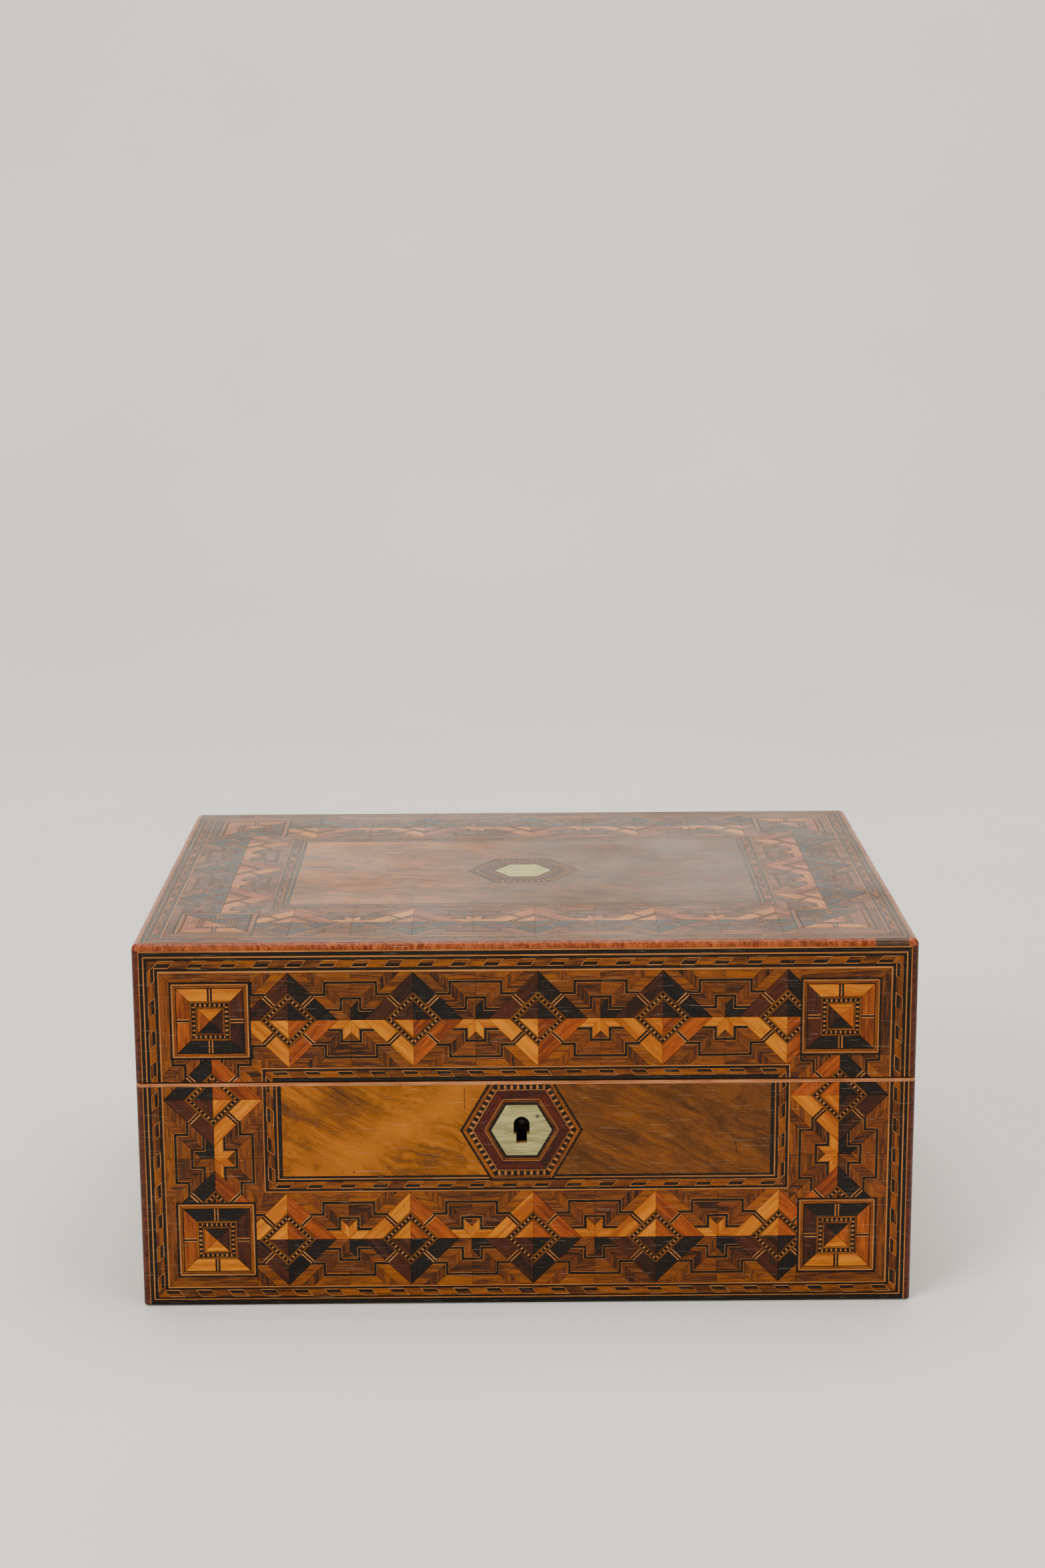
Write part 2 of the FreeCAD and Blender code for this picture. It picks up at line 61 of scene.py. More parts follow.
def spin(degrees):
    """A turn on the face, counter-clockwise."""
    c, s = math.cos(math.radians(degrees)), math.sin(math.radians(degrees))
    return np.array([[c, -s, 0], [s, c, 0], [0, 0, 1]])


def mirror(sx, sy):
    """A flip along right or up, where either is -1."""
    return np.diag([float(sx), float(sy), 1.0])


HOME = np.eye(3)


def clipped(shape, planes):
    """What is left of a convex outline inside half-planes (nx, ny, reach), where n . p <= reach."""
    for nx, ny, reach in planes:
        if len(shape) < 3:
            break
        over = shape @ (nx, ny) - reach
        ahead = np.roll(over, -1)
        out, out_ahead = over > 0, ahead > 0
        if not out.any():
            continue
        crosses = out != out_ahead
        share = over / np.where(crosses, over - ahead, 1.0)
        meets = shape + share[:, None] * (np.roll(shape, -1, axis=0) - shape)
        both = np.stack([shape, meets], axis=1)
        shape = both[np.stack([~out, crosses], axis=1)]
    return shape


def window(u0, v0, u1, v1):
    """A rectangle as four half-planes."""
    return [(-1, 0, -u0), (1, 0, u1), (0, -1, -v0), (0, 1, v1)]


def walls_of(shape):
    """The half-planes whose overlap is a convex outline given counter-clockwise."""
    shape = np.asarray(shape, float)
    step = np.roll(shape, -1, axis=0) - shape
    normal = np.stack([step[:, 1], -step[:, 0]], axis=1) / np.linalg.norm(step, axis=1)[:, None]
    return [(n[0], n[1], n @ p) for n, p in zip(normal, shape)]


def outward(planes):
    """The other side of each half-plane."""
    return [(-a, -b, -c) for a, b, c in planes]


def without(shape, hole):
    """A convex outline less a convex hole, as convex pieces that share straight cuts."""
    pieces = []
    planes = walls_of(hole)
    for number, plane in enumerate(planes):
        pieces.append(clipped(np.asarray(shape, float), outward([plane]) + planes[:number]))
    return [piece for piece in pieces if len(piece) > 2]


SPLINTER = 0.01
SAME_POINT = 0.02


def worth_laying(shape):
    """Whether a cut outline is more than a splinter, by its area."""
    if len(shape) < 3:
        return False
    ahead = np.roll(shape, -1, axis=0)
    return (shape[:, 0] * ahead[:, 1] - ahead[:, 0] * shape[:, 1]).sum() / 2 > SPLINTER


def polygon(sides, apothem, spot=HOME):
    """A regular polygon with a flat side at the top of its spot."""
    angle = np.radians(90 + 180 / sides + 360 / sides * np.arange(sides))
    radius = apothem / math.cos(math.pi / sides)
    return np.stack([np.cos(angle), np.sin(angle)], axis=1) * radius @ spot[:2, :2].T + spot[:2, 2]


class Face:
    """The tiles of one flat face of the box, in that face's own right and up directions."""

    def __init__(self):
        self.tiles = []

    def lay(self, wood, corners, spot=HOME, grain=0.0, within=(), seamless=False):
        """Adds one convex tile, with its grain at an angle to its spot's right."""
        shape = np.asarray(corners, float) @ spot[:2, :2].T + spot[:2, 2]
        if np.linalg.det(spot[:2, :2]) < 0:
            shape = shape[::-1]
        shape = clipped(shape, within)
        if len(shape) > 2:
            ahead = np.roll(shape, -1, axis=0)
            shape = shape[np.linalg.norm(ahead - shape, axis=1) > SAME_POINT]
        if not worth_laying(shape):
            return
        way = spot[:2, :2] @ (math.cos(math.radians(grain)), math.sin(math.radians(grain)))
        self.tiles.append((wood, shape, math.atan2(way[1], way[0]), seamless))


# ---------------------------------------------------------------- the patterns

ARM = {"outer_left": "rosewood", "inner_left": "satinwood", "inner_right": "padouk", "outer_right": "ebony"}
PITCH = 48.5
LOZENGE = 19.3
LOZENGE_RINGS = (7.92, 7.2, 5.9, 5.3)
BAR = 0.62
CELL = 0.95
DARK_EDGE = 0.08
PALE_SHARE = 0.43


def collar(face, spot, sides, inner, outer, woods, within=()):
    """A mitred ring between two regular polygons; woods repeat round its sides."""
    slope = math.tan(math.pi / sides)
    for k in range(sides):
        low, high = inner * slope, outer * slope
        shape = [(-low, inner), (low, inner), (high, outer), (-high, outer)]
        face.lay(woods[k % len(woods)], shape, spot @ spin(360 * k / sides), 0, within)


def divided(face, spot, inner, outer, slope, cuts, woods, within, grain=0.0):
    """One mitred side of a ring, cut square across at the given places along it."""
    at_inner = np.clip(cuts, -inner * slope, inner * slope)
    at_outer = np.clip(cuts, -outer * slope, outer * slope)
    for number, wood in enumerate(woods):
        a, b = number, number + 1
        shape = [(at_inner[a], inner), (at_inner[b], inner), (at_outer[b], outer), (at_outer[a], outer)]
        face.lay(wood, shape, spot, grain, within)


def chequer(face, spot, sides, inner, outer, cell, within=()):
    """A ring of small pale blocks set in a dark strip."""
    slope = math.tan(math.pi / sides)
    collar(face, spot, sides, inner, inner + DARK_EDGE, ["ebony"], within)
    collar(face, spot, sides, outer - DARK_EDGE, outer, ["ebony"], within)
    inner, outer = inner + DARK_EDGE, outer - DARK_EDGE
    count = 2 * round(outer * slope / cell) + 1
    cuts = np.linspace(-outer * slope, outer * slope, count + 1)
    pale = np.arange(1, count, 2)
    swell = (0.5 - PALE_SHARE) * (cuts[1] - cuts[0])
    cuts[pale] += swell
    cuts[pale + 1] -= swell
    woods = ["blocks" if k % 2 else "ebony" for k in range(count)]
    for k in range(sides):
        divided(face, spot @ spin(360 * k / sides), inner, outer, slope, cuts, woods, within, 90)


def star_square(face, spot, rings, woods, within=()):
    """A mitred square of four woods, a bar across each side, round a chequered frame and four triangles."""
    outer, arm, line, check, core = rings
    for k, wood in enumerate(woods):
        side = spot @ spin(90 * k)
        dark, light = ("holly", "ebony") if wood == "satinwood" else ("ebony", "holly")
        cuts = np.array([-outer, -1.5 * BAR, -0.5 * BAR, 0.5 * BAR, 1.5 * BAR, outer])
        divided(face, side, arm, outer, 1.0, cuts, [wood, light, dark, light, wood], within)
        face.lay(wood, [(0, 0), (core, core), (-core, core)], side, 0, within)
    collar(face, spot, 4, line, arm, ["olive"], within)
    chequer(face, spot, 4, check, line, CELL, within)
    collar(face, spot, 4, core, check, ["olive"], within)


def lozenge(face, spot, within):
    """The star square on its corner: dark towards the face's edge, light towards its middle."""
    woods = [ARM["outer_left"], ARM["inner_left"], ARM["inner_right"], ARM["outer_right"]]
    star_square(face, spot @ spin(45), (LOZENGE / math.sqrt(2), *LOZENGE_RINGS), woods, within)


STAR_ARM = {
    "outer_left": "walnut", "inner_left": "satinwood", "inner_right": "satinwood", "outer_right": "ebony",
}
STAR_POINT = {
    "outer_left": "walnut", "inner_left": "satinwood", "inner_right": "satinwood", "outer_right": "ebony",
}
INNER_PATH = (3.75, 4.1, 8.75)
OUTER_PATH = (10.0, 10.3, 15.15)
PATH = (-0.74, -0.46, 0.46, 0.74)


def steps(face, spot, inner, outer, woods, within):
    """The three mitred boards between two stepped paths, in one quarter of the space between lozenges.

    A path runs out from (a, b), stands from b to c at a, and crosses at c.  Where the outer path lies beyond
    the field its corners are given as two points at the field's edge.
    """
    (low_in, high_in), (low_out, high_out) = inner, outer
    arm_wood, riser_wood, cap_wood = woods
    far = PITCH / 2 + 2
    face.lay(arm_wood, [low_in, (far, low_in[1]), (far, low_out[1]), low_out], spot, 0, within)
    face.lay(riser_wood, [low_in, low_out, high_out, high_in], spot, 90, within)
    face.lay(cap_wood, [(0, high_in[1]), high_in, high_out, (0, high_out[1])], spot, 0, within)


def corners_of(path, offset):
    """The two corners of a stepped path moved outwards by an offset."""
    a, b, c = path
    return (a + offset, b + offset), (a + offset, c + offset)


def between_lozenges(face, spot, half, within):
    """The stepped key pattern that fills the space between two lozenges."""
    for sx in (1, -1):
        for sy in (1, -1):
            quarter = spot @ mirror(sx, sy)
            slant = [(1, -1, PITCH / 2 - LOZENGE), (1, 0, PITCH / 2), (0, -1, 0), (-1, 0, 0)]
            inside = list(within) + moved(slant, quarter)
            where = ("outer" if sy > 0 else "inner") + ("_right" if sx > 0 else "_left")
            a, b, c = (size + PATH[0] for size in INNER_PATH)
            face.lay(STAR_ARM[where], [(0, 0), (PITCH / 2, 0), (PITCH / 2, b), (a, b)], quarter, 0, inside)
            face.lay(STAR_POINT[where], [(0, 0), (a, b), (a, c), (0, c - a)], quarter, 90, inside)
            face.lay("walnut", [(0, c - a), (a, c), (0, c)], quarter, 0, inside)
            for path in (INNER_PATH, OUTER_PATH):
                for o0, o1, line in zip(PATH, PATH[1:], ("holly", "ebony", "holly")):
                    steps(face, quarter, corners_of(path, o0), corners_of(path, o1), [line] * 3, inside)
            middle = (corners_of(INNER_PATH, PATH[-1]), corners_of(OUTER_PATH, PATH[0]))
            steps(face, quarter, *middle, ["walnut", "dark_walnut", "walnut"], inside)
            low, high = corners_of(OUTER_PATH, PATH[-1])
            edge = ((low[0] + half - low[1], half), (high[0] + half - high[1], half))
            steps(face, quarter, (low, high), edge, ["gold_walnut", "walnut", "gold_walnut"], inside)


def moved(planes, spot):
    """Half-planes given at a spot, as half-planes of the face."""
    turn = spot[:2, :2]
    result = []
    for nx, ny, reach in planes:
        normal = turn @ (nx, ny)
        result.append((normal[0], normal[1], reach + normal @ spot[:2, 2]))
    return result


def star_band(face, spot, half, first, last, within):
    """Lozenges at an even pitch along a spot's right, with the key pattern between them."""
    for x in np.arange(first - PITCH, last + PITCH, PITCH):
        lozenge(face, spot @ shift(x, 0), within)
        between_lozenges(face, spot @ shift(x + PITCH / 2, 0), half, within)


MOTIF = 12.7
LEAN = 0.8
RIBBON_ROWS = (("holly", 0, 0.13), ("gold_walnut", 0.13, 0.5), ("ebony", 0.5, 0.85), ("holly", 0.85, 1))
PLATE = 6.4
PLATE_LINE = 0.45


def ribbon(face, side, slant, turned):
    """A twisted-ribbon band inside a four-cornered strip that runs from its first corner to its second.

    Each turn is a slanting plate, half gold and half black in pale outlines; turned puts its black half
    outermost.
    """
    side = np.asarray(side, float)
    along = side[1] - side[0]
    length = np.linalg.norm(along)
    angle = math.degrees(math.atan2(along[1], along[0]))
    spot = shift(*side[0]) @ spin(angle)
    wide = (side[2] - side[0]) @ spot[:2, 1]
    inside = walls_of(side)
    lean = slant * wide * LEAN

    def slab(wood, s0, s1, t0, t1):
        shape = [(s0 + lean * t0, t0 * wide), (s1 + lean * t0, t0 * wide),
                 (s1 + lean * t1, t1 * wide), (s0 + lean * t1, t1 * wide)]
        face.lay(wood, shape, spot, 0, inside)

    count = max(1, round(length / MOTIF))
    step = length / count
    for k in range(-1, count + 1):
        s = (k + 0.25) * step - lean / 2
        slab("holly", s, s + PLATE_LINE, 0, 1)
        slab("holly", s + PLATE - PLATE_LINE, s + PLATE, 0, 1)
        for wood, t0, t1 in RIBBON_ROWS:
            low, high = (1 - t1, 1 - t0) if turned else (t0, t1)
            slab(wood, s + PLATE_LINE, s + PLATE - PLATE_LINE, low, high)
        slab("gold_walnut", s + PLATE, s + step, 0, 1)


def nested_frame(face, rect, rings, slants, within=()):
    """Mitred frames one inside another; a ring gives its wood and its width left, bottom, right and top."""
    u0, v0, u1, v1 = rect
    for wood, left, bottom, right, top in rings:
        n = (u0 + left, v0 + bottom, u1 - right, v1 - top)
        sides = {
            "bottom": (bottom, [(u0, v0), (u1, v0), (n[2], n[1]), (n[0], n[1])]),
            "right": (right, [(u1, v0), (u1, v1), (n[2], n[3]), (n[2], n[1])]),
            "top": (top, [(u1, v1), (u0, v1), (n[0], n[3]), (n[2], n[3])]),
            "left": (left, [(u0, v1), (u0, v0), (n[0], n[1]), (n[0], n[3])]),
        }
        for name, (width, side) in sides.items():
            if width <= 0:
                continue
            if wood in ("ribbon", "turned_ribbon"):
                ribbon(face, side, slants[name], wood == "turned_ribbon")
            else:
                angle = 0 if name in ("bottom", "top") else 90
                face.lay(wood, side, HOME, angle, within)
        u0, v0, u1, v1 = n
    return u0, v0, u1, v1


CORNER_RINGS = (
    (14.95, 15.7, "ebony"), (14.25, 14.95, "holly"), (13.2, 14.25, "gold_walnut"), (13.0, 13.2, "ebony"),
)
STAR_RINGS = (13.0, 8.0, 7.1, 5.65, 4.85)
CORNER = 15.7
BORDER_REACH = 24.0


def corner_square(face, x, y, sx, sy, within):
    """A corner's star square in its outlines and its walnut border."""
    spot = shift(x, y) @ mirror(-sx, sy)
    for inner, outer, wood in CORNER_RINGS:
        collar(face, spot, 4, inner, outer, [wood])
    collar(face, spot, 4, CORNER, BORDER_REACH, ["gold_walnut", "walnut"], within)
    star_square(face, spot, STAR_RINGS, ["satinwood", "orange", "ebony", "rosewood"])


def parted(tiles, hole):
    """Tiles less a convex hole; those clear of it stay whole."""
    kept = []
    for wood, shape, grain, seamless in tiles:
        reached = worth_laying(clipped(shape, walls_of(hole)))
        shapes = without(shape, hole) if reached else [shape]
        kept += [(wood, piece, grain, seamless) for piece in shapes if worth_laying(piece)]
    return kept


def laid_face(outer, outside, inside, inner_edge, first, panel_wood, hexagon=None, ceiling=999.0):
    """A whole face: frames, corner squares, star bands between them, and a panel.

    With a hexagon, its rings are let into the panel and its frame, no higher than the ceiling.
    """
    face = Face()
    slants = {"bottom": -1, "top": 1, "left": -1, "right": 1}
    field = nested_frame(face, outer, outside, slants)
    f0, g0, f1, g1 = field
    left, low, right, high = inner_edge
    square_u = (f0 + left) / 2, (f1 + right) / 2
    square_v = (g0 + low) / 2, (g1 + high) / 2
    for x, sx in zip(square_u, (-1, 1)):
        for y, sy in zip(square_v, (-1, 1)):
            edge_u = x - sx * CORNER
            edge_v = y - sy * CORNER
            us, vs = sorted((edge_u, f0 if sx < 0 else f1)), sorted((edge_v, g0 if sy < 0 else g1))
            room = window(us[0], vs[0], us[1], vs[1])
            corner_square(face, x, y, sx, sy, room)
    u_span = square_u[0] + CORNER, square_u[1] - CORNER
    v_span = square_v[0] + CORNER, square_v[1] - CORNER
    rows = (square_v[0], -1, first[0], (g0, low)), (square_v[1], 1, first[1], (high, g1))
    for y, sy, start, bounds in rows:
        room = window(u_span[0], bounds[0], u_span[1], bounds[1])
        star_band(face, shift(0, y) @ mirror(1, sy), (bounds[1] - bounds[0]) / 2, start, u_span[1], room)
    for x, sx, bounds in ((square_u[0], -1, (f0, left)), (square_u[1], 1, (right, f1))):
        room = window(bounds[0], v_span[0], bounds[1], v_span[1])
        # Right becomes up the face, and up becomes outwards.
        turn = np.array([[0.0, sx, x], [1.0, 0, 0], [0, 0, 1]])
        star_band(face, turn, (bounds[1] - bounds[0]) / 2, first[2], v_span[1], room)
    # The inner frame's ribbons lean the other way.
    slants = {"bottom": 1, "top": -1, "left": 1, "right": -1}
    before = len(face.tiles)
    panel = nested_frame(face, inner_edge, inside, slants)
    p0, q0, p1, q1 = panel
    sheet = [(p0, q0), (p1, q0), (p1, q1), (p0, q1)]
    if hexagon is None:
        face.lay(panel_wood, sheet, seamless=True)
        return face
    room = [(0, 1, ceiling)]
    hole = clipped(polygon(6, HEX_EDGE, shift(*hexagon)), room)
    face.tiles[before:] = parted(face.tiles[before:], hole)
    for piece in without(sheet, hole):
        face.lay(panel_wood, piece, seamless=True)
    hexagon_rings(face, shift(*hexagon), room)
    return face


HEX_EDGE = 20.9
HEX_RINGS = (
    (20.1, HEX_EDGE, "ebony"), (18.65, 20.1, "gold_walnut"), (16.35, 16.75, "holly"),
    (12.75, 16.35, "mahogany"), (12.35, 12.75, "holly"), (11.35, 12.35, "gold_walnut"),
    (10.31, 11.35, "ebony"),
)
HEX_CHEQUER = (16.75, 18.65, 1.33)


def hexagon_rings(face, spot, within):
    """The hexagonal surround of a mother-of-pearl plate."""
    for inner, outer, wood in HEX_RINGS:
        collar(face, spot, 6, inner, outer, [wood], within)
    chequer(face, spot, 6, *HEX_CHEQUER, within)


# ---------------------------------------------------------------- from tiles to meshes

WOODS = [
    "glue", "ebony", "rosewood", "satinwood", "padouk", "orange", "holly", "olive", "walnut", "dark_walnut",
    "gold_walnut", "mahogany", "blocks", "front_panel", "top_panel", "side_panel",
]
JOINT = 0.06
GROUND = 0.2
SHEET = 1.0
SUNK = 0.03
WHOLE_TONE = 0.5


def inset(shapes, gap):
    """Outlines moved in: each corner slides along its mitre by the gap over the sine of its half-angle."""
    ahead = np.roll(shapes, -1, axis=1) - shapes
    normal = np.stack([-ahead[..., 1], ahead[..., 0]], axis=-1)
    normal /= np.linalg.norm(normal, axis=-1, keepdims=True)
    before = np.roll(normal, 1, axis=1)
    lean = 1 + (normal * before).sum(-1, keepdims=True)
    return shapes + gap * (normal + before) / np.maximum(lean, 0.35)


def prisms(shapes, grain, top, foot, gap, origin, right, up, out):
    """Points, faces and map places of tiles as prisms whose outline is moved inwards by the gap."""
    count, corners = shapes.shape[:2]
    flat = inset(shapes, gap[:, None, None]) if gap.any() else shapes
    place = origin + MM * (flat[..., :1] * right + flat[..., 1:] * up)
    upper = place - MM * top[:, None, None] * out
    lower = place - MM * foot * out
    verts = np.concatenate([upper, lower], axis=1)
    base = (np.arange(count) * 2 * corners)[:, None]
    ring = np.arange(corners)
    nxt = (ring + 1) % corners
    lids = base + ring
    walls = (base[:, :, None] + np.stack([ring + corners, nxt + corners, nxt, ring], axis=1)[None])
    walls = walls.reshape(-1, 4)
    c, s = np.cos(grain)[:, None], np.sin(grain)[:, None]
    uv = np.stack([flat[..., 0] * c + flat[..., 1] * s, flat[..., 1] * c - flat[..., 0] * s], axis=-1)
    return verts.reshape(-1, 3), lids, walls, uv


def face_mesh(name, tiles, slabs, origin, right, up, body, nodes):
    """One object for a face's tiles on their ground; each tile keeps its own wood, grain and tone."""
    origin, right, up = (np.array(v, float) for v in (origin, right, up))
    out = np.cross(right, up)
    verts, faces, woods, uvs, tones = [], [], [], [], []
    start = 0
    groups = {}
    for wood, shape, grain, seamless in tiles:
        groups.setdefault((len(shape), False), []).append((wood, shape, grain, seamless))
    for shape in slabs:
        groups.setdefault((len(shape), True), []).append(("glue", shape, 0.0, True))
    for (corners, ground), members in groups.items():
        shapes = np.array([m[1] for m in members])
        grain = np.array([m[2] for m in members])
        seamless = np.array([m[3] for m in members])
        count = len(members)
        tone = np.where(seamless, WHOLE_TONE, rng.random(count))
        top = np.full(count, GROUND) if ground else np.where(seamless, 0.0, SUNK * rng.random(count))
        gap = np.where(seamless, 0.0, JOINT)
        foot = SHEET if ground else GROUND
        points, lids, walls, uv = prisms(shapes, grain, top, foot, gap, origin, right, up, out)
        slide = np.where(seamless[:, None], 0.0, rng.random((count, 2)) * 400)
        uv = (uv + slide[:, None, :]) * MM
        uv = np.concatenate([uv, uv], axis=1).reshape(-1, 2)
        lids, walls = lids + start, walls + start
        if ground:
            backs = lids[:, ::-1] + corners
            faces += backs.tolist()
            woods += [0] * count
        kinds = [WOODS.index(m[0]) for m in members]
        if not (seamless.all() and not ground):
            faces += walls.tolist()
            woods += np.repeat(kinds, corners).tolist()
        faces += lids.tolist()
        woods += kinds
        verts.append(points)
        uvs.append(uv)
        tones.append(np.repeat(tone, 2 * corners))
        start += len(points)
    obj = mesh_object(name, np.concatenate(verts), faces, np.concatenate(uvs))
    tone_at = obj.data.attributes.new("tone", "FLOAT", "POINT")
    tone_at.data.foreach_set("value", np.concatenate(tones))
    used = sorted(set(woods))
    for number in used:
        obj.data.materials.append(MATERIALS[WOODS[number]])
    place = np.searchsorted(used, woods)
    obj.data.polygons.foreach_set("material_index", place)
    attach(obj, body)
    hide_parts(*nodes)
    return obj


def mesh_object(name, verts, faces, uv=None, smooth=False):
    """A mesh at the origin; uv gives one place in the map for each vertex."""
    mesh = bpy.data.meshes.new(name)
    mesh.from_pydata(verts, [], faces)
    if uv is not None:
        layer = mesh.uv_layers.new(name="grain")
        index = np.empty(len(mesh.loops), int)
        mesh.loops.foreach_get("vertex_index", index)
        layer.data.foreach_set("uv", uv[index].ravel())
    mesh.polygons.foreach_set("use_smooth", np.full(len(mesh.polygons), smooth))
    mesh.validate()
    mesh.update()
    obj = bpy.data.objects.new(name, mesh)
    bpy.context.collection.objects.link(obj)
    return obj


# ---------------------------------------------------------------- shader groups and materials


class Tree:
    """Short ways to add nodes to a node tree and to join them."""

    def __init__(self, tree):
        self.tree = tree

    def add(self, kind, settings=None, **inputs):
        node = self.tree.nodes.new(kind)
        for key, value in (settings or {}).items():
            setattr(node, key, value)
        for key, value in inputs.items():
            self.join(value, node.inputs[key])
        return node

    def join(self, value, socket):
        if isinstance(value, bpy.types.NodeSocket):
            self.tree.links.new(value, socket)
        elif hasattr(socket.default_value, "__len__") and len(socket.default_value) == 4 and len(value) == 3:
            socket.default_value = (*value, 1.0)
        else:
            socket.default_value = value

    def noise(self, vector, scale, detail=4.0, rough=0.55, distort=0.0, out="Fac"):
        node = self.add("ShaderNodeTexNoise", Vector=vector, Scale=scale, Detail=detail, Roughness=rough,
                        Distortion=distort)
        return node.outputs[out]

    def math(self, way, a, b=0.0, clamp=False):
        node = self.add("ShaderNodeMath", {"operation": way, "use_clamp": clamp})
        self.join(a, node.inputs[0])
        self.join(b, node.inputs[1])
        return node.outputs[0]

    def mix(self, share, a, b, way="MIX"):
        node = self.add("ShaderNodeMix", {"data_type": "RGBA", "blend_type": way})
        self.join(share, node.inputs[0])
        self.join(a, node.inputs[6])
        self.join(b, node.inputs[7])
        return node.outputs[2]

    def spread(self, value, low, high, to_low=0.0, to_high=1.0):
        node = self.add("ShaderNodeMapRange", Value=value)
        for key, number in (("From Min", low), ("From Max", high), ("To Min", to_low), ("To Max", to_high)):
            self.join(number, node.inputs[key])
        return node.outputs[0]

    def stretched(self, vector, scale, turn=(0, 0, 0)):
        node = self.add("ShaderNodeMapping", Vector=vector)
        node.inputs["Rotation"].default_value = turn
        node.inputs["Scale"].default_value = scale
        return node.outputs[0]

    def bump(self, height, strength, distance):
        return self.add("ShaderNodeBump", Height=height, Strength=strength, Distance=distance).outputs[0]


def group(name, inputs, outputs):
    """A shader node group with named sockets, and its tree, input node and output node."""
    tree = bpy.data.node_groups.new(name, "ShaderNodeTree")
    for key, (kind, value) in inputs.items():
        socket = tree.interface.new_socket(key, in_out="INPUT", socket_type=f"NodeSocket{kind}")
        if value is not None:
            socket.default_value = value
    for key, kind in outputs.items():
        tree.interface.new_socket(key, in_out="OUTPUT", socket_type=f"NodeSocket{kind}")
    work = Tree(tree)
    return tree, work, tree.nodes.new("NodeGroupInput").outputs, tree.nodes.new("NodeGroupOutput").inputs


def wood_group():
    """Figure and pores that run along a vector's X, between a light and a dark colour."""
    colour = ("Color", (0.5, 0.3, 0.1, 1))
    inputs = {"Vector": ("Vector", None), "Tone": ("Float", 0.5), "Light": colour, "Dark": colour,
              "Figure": ("Float", 1.0), "Swirl": ("Float", 0.5), "Pores": ("Float", 0.5)}
    tree, w, into, out = group("wood_grain", inputs, {"Color": "Color", "Rough": "Float", "Height": "Float"})
    long = w.stretched(into["Vector"], (40, 420, 420))
    broad = w.noise(long, w.math("MULTIPLY", into["Figure"], 1.0), 5, 0.6, into["Swirl"])
    fine = w.noise(w.stretched(into["Vector"], (160, 3200, 3200)), 1.0, 3, 0.6)
    pore = w.noise(w.stretched(into["Vector"], (420, 5200, 5200)), 1.0, 2, 0.5)
    streak = w.math("ADD", w.math("MULTIPLY", broad, 0.7), w.math("MULTIPLY", fine, 0.3))
    share = w.spread(streak, 0.39, 0.61)
    share = w.math("ADD", share, w.spread(into["Tone"], 0, 1, -0.3, 0.3), True)
    colour = w.mix(share, into["Dark"], into["Light"])
    pits = w.math("MULTIPLY", w.spread(pore, 0.60, 0.68), into["Pores"], True)
    colour = w.mix(pits, colour, w.mix(0.72, colour, (0.01, 0.006, 0.003)))
    w.join(colour, out["Color"])
    w.join(w.math("ADD", w.spread(fine, 0.3, 0.7, -0.03, 0.05), w.math("MULTIPLY", pits, 0.12)), out["Rough"])
    w.join(w.math("SUBTRACT", w.math("MULTIPLY", share, 0.25), pits), out["Height"])
    return tree


def polish_group():
    """Old shellac: a warm, patchy tint, grime in patches, hairline scratches and a slightly wavy surface."""
    inputs = {"Color": ("Color", (0.5, 0.3, 0.1, 1)), "Rough": ("Float", 0.0), "Height": ("Float", 0.0),
              "Base Rough": ("Float", 0.3), "Grime": ("Float", 0.5)}
    outputs = {"Color": "Color", "Roughness": "Float", "Coat": "Float", "Height": "Float"}
    tree, w, into, out = group("old_polish", inputs, outputs)
    at = w.add("ShaderNodeTexCoord").outputs["Object"]
    patch = w.noise(at, 22.0, 5, 0.6)
    cloud = w.noise(at, 7.0, 3, 0.5)
    scratch = w.noise(w.stretched(at, (90, 2600, 2600), (0.2, 0.3, 0.9)), 1.0, 2, 0.5)
    other = w.noise(w.stretched(at, (2400, 110, 2400), (0.4, 0.1, 0.35)), 1.0, 2, 0.5)
    lines = w.math("MAXIMUM", w.spread(scratch, 0.66, 0.7), w.spread(other, 0.67, 0.71), True)
    dirt = w.math("MULTIPLY", w.spread(patch, 0.45, 0.75), into["Grime"], True)
    tint = w.mix(w.math("MULTIPLY", dirt, 0.45), into["Color"], (0.05, 0.028, 0.014))
    tint = w.mix(w.spread(cloud, 0.35, 0.7, 0.0, 0.45), tint, (0.9, 0.6, 0.32), "MULTIPLY")
    tint = w.mix(w.math("MULTIPLY", lines, 0.1), tint, (0.75, 0.6, 0.42))
    speck = w.spread(w.noise(at, 420.0, 2, 0.5), 0.70, 0.76)
    tint = w.mix(w.math("MULTIPLY", speck, 0.6, True), tint, (0.02, 0.01, 0.004))
    w.join(tint, out["Color"])
    rough = w.math("ADD", into["Base Rough"], into["Rough"])
    rough = w.math("ADD", rough, w.spread(patch, 0.3, 0.8, -0.05, 0.16))
    w.join(w.math("ADD", rough, w.math("MULTIPLY", lines, 0.15), True), out["Roughness"])
    w.join(w.spread(patch, 0.3, 0.8, 0.9, 0.35), out["Coat"])
    wave = w.math("MULTIPLY", w.noise(at, 60.0, 2, 0.5), 0.6)
    height = w.math("ADD", w.math("MULTIPLY", into["Height"], 0.35), wave)
    w.join(w.math("SUBTRACT", height, w.math("MULTIPLY", lines, 0.2)), out["Height"])
    return tree


WOOD = wood_group()
POLISH = polish_group()
SHINE = 0.1
COAT_IOR = 1.2


def material(name):
    """A new material, its tree, and its Principled node."""
    made = bpy.data.materials.new(name)
    made.use_nodes = True
    shader = made.node_tree.nodes["Principled BSDF"]
    return made, Tree(made.node_tree), shader


def used(work, tree, **inputs):
    """A group placed in a material."""
    node = work.add("ShaderNodeGroup", {"node_tree": tree})
    for key, value in inputs.items():
        work.join(value, node.inputs[key.replace("_", " ")])
    return node.outputs


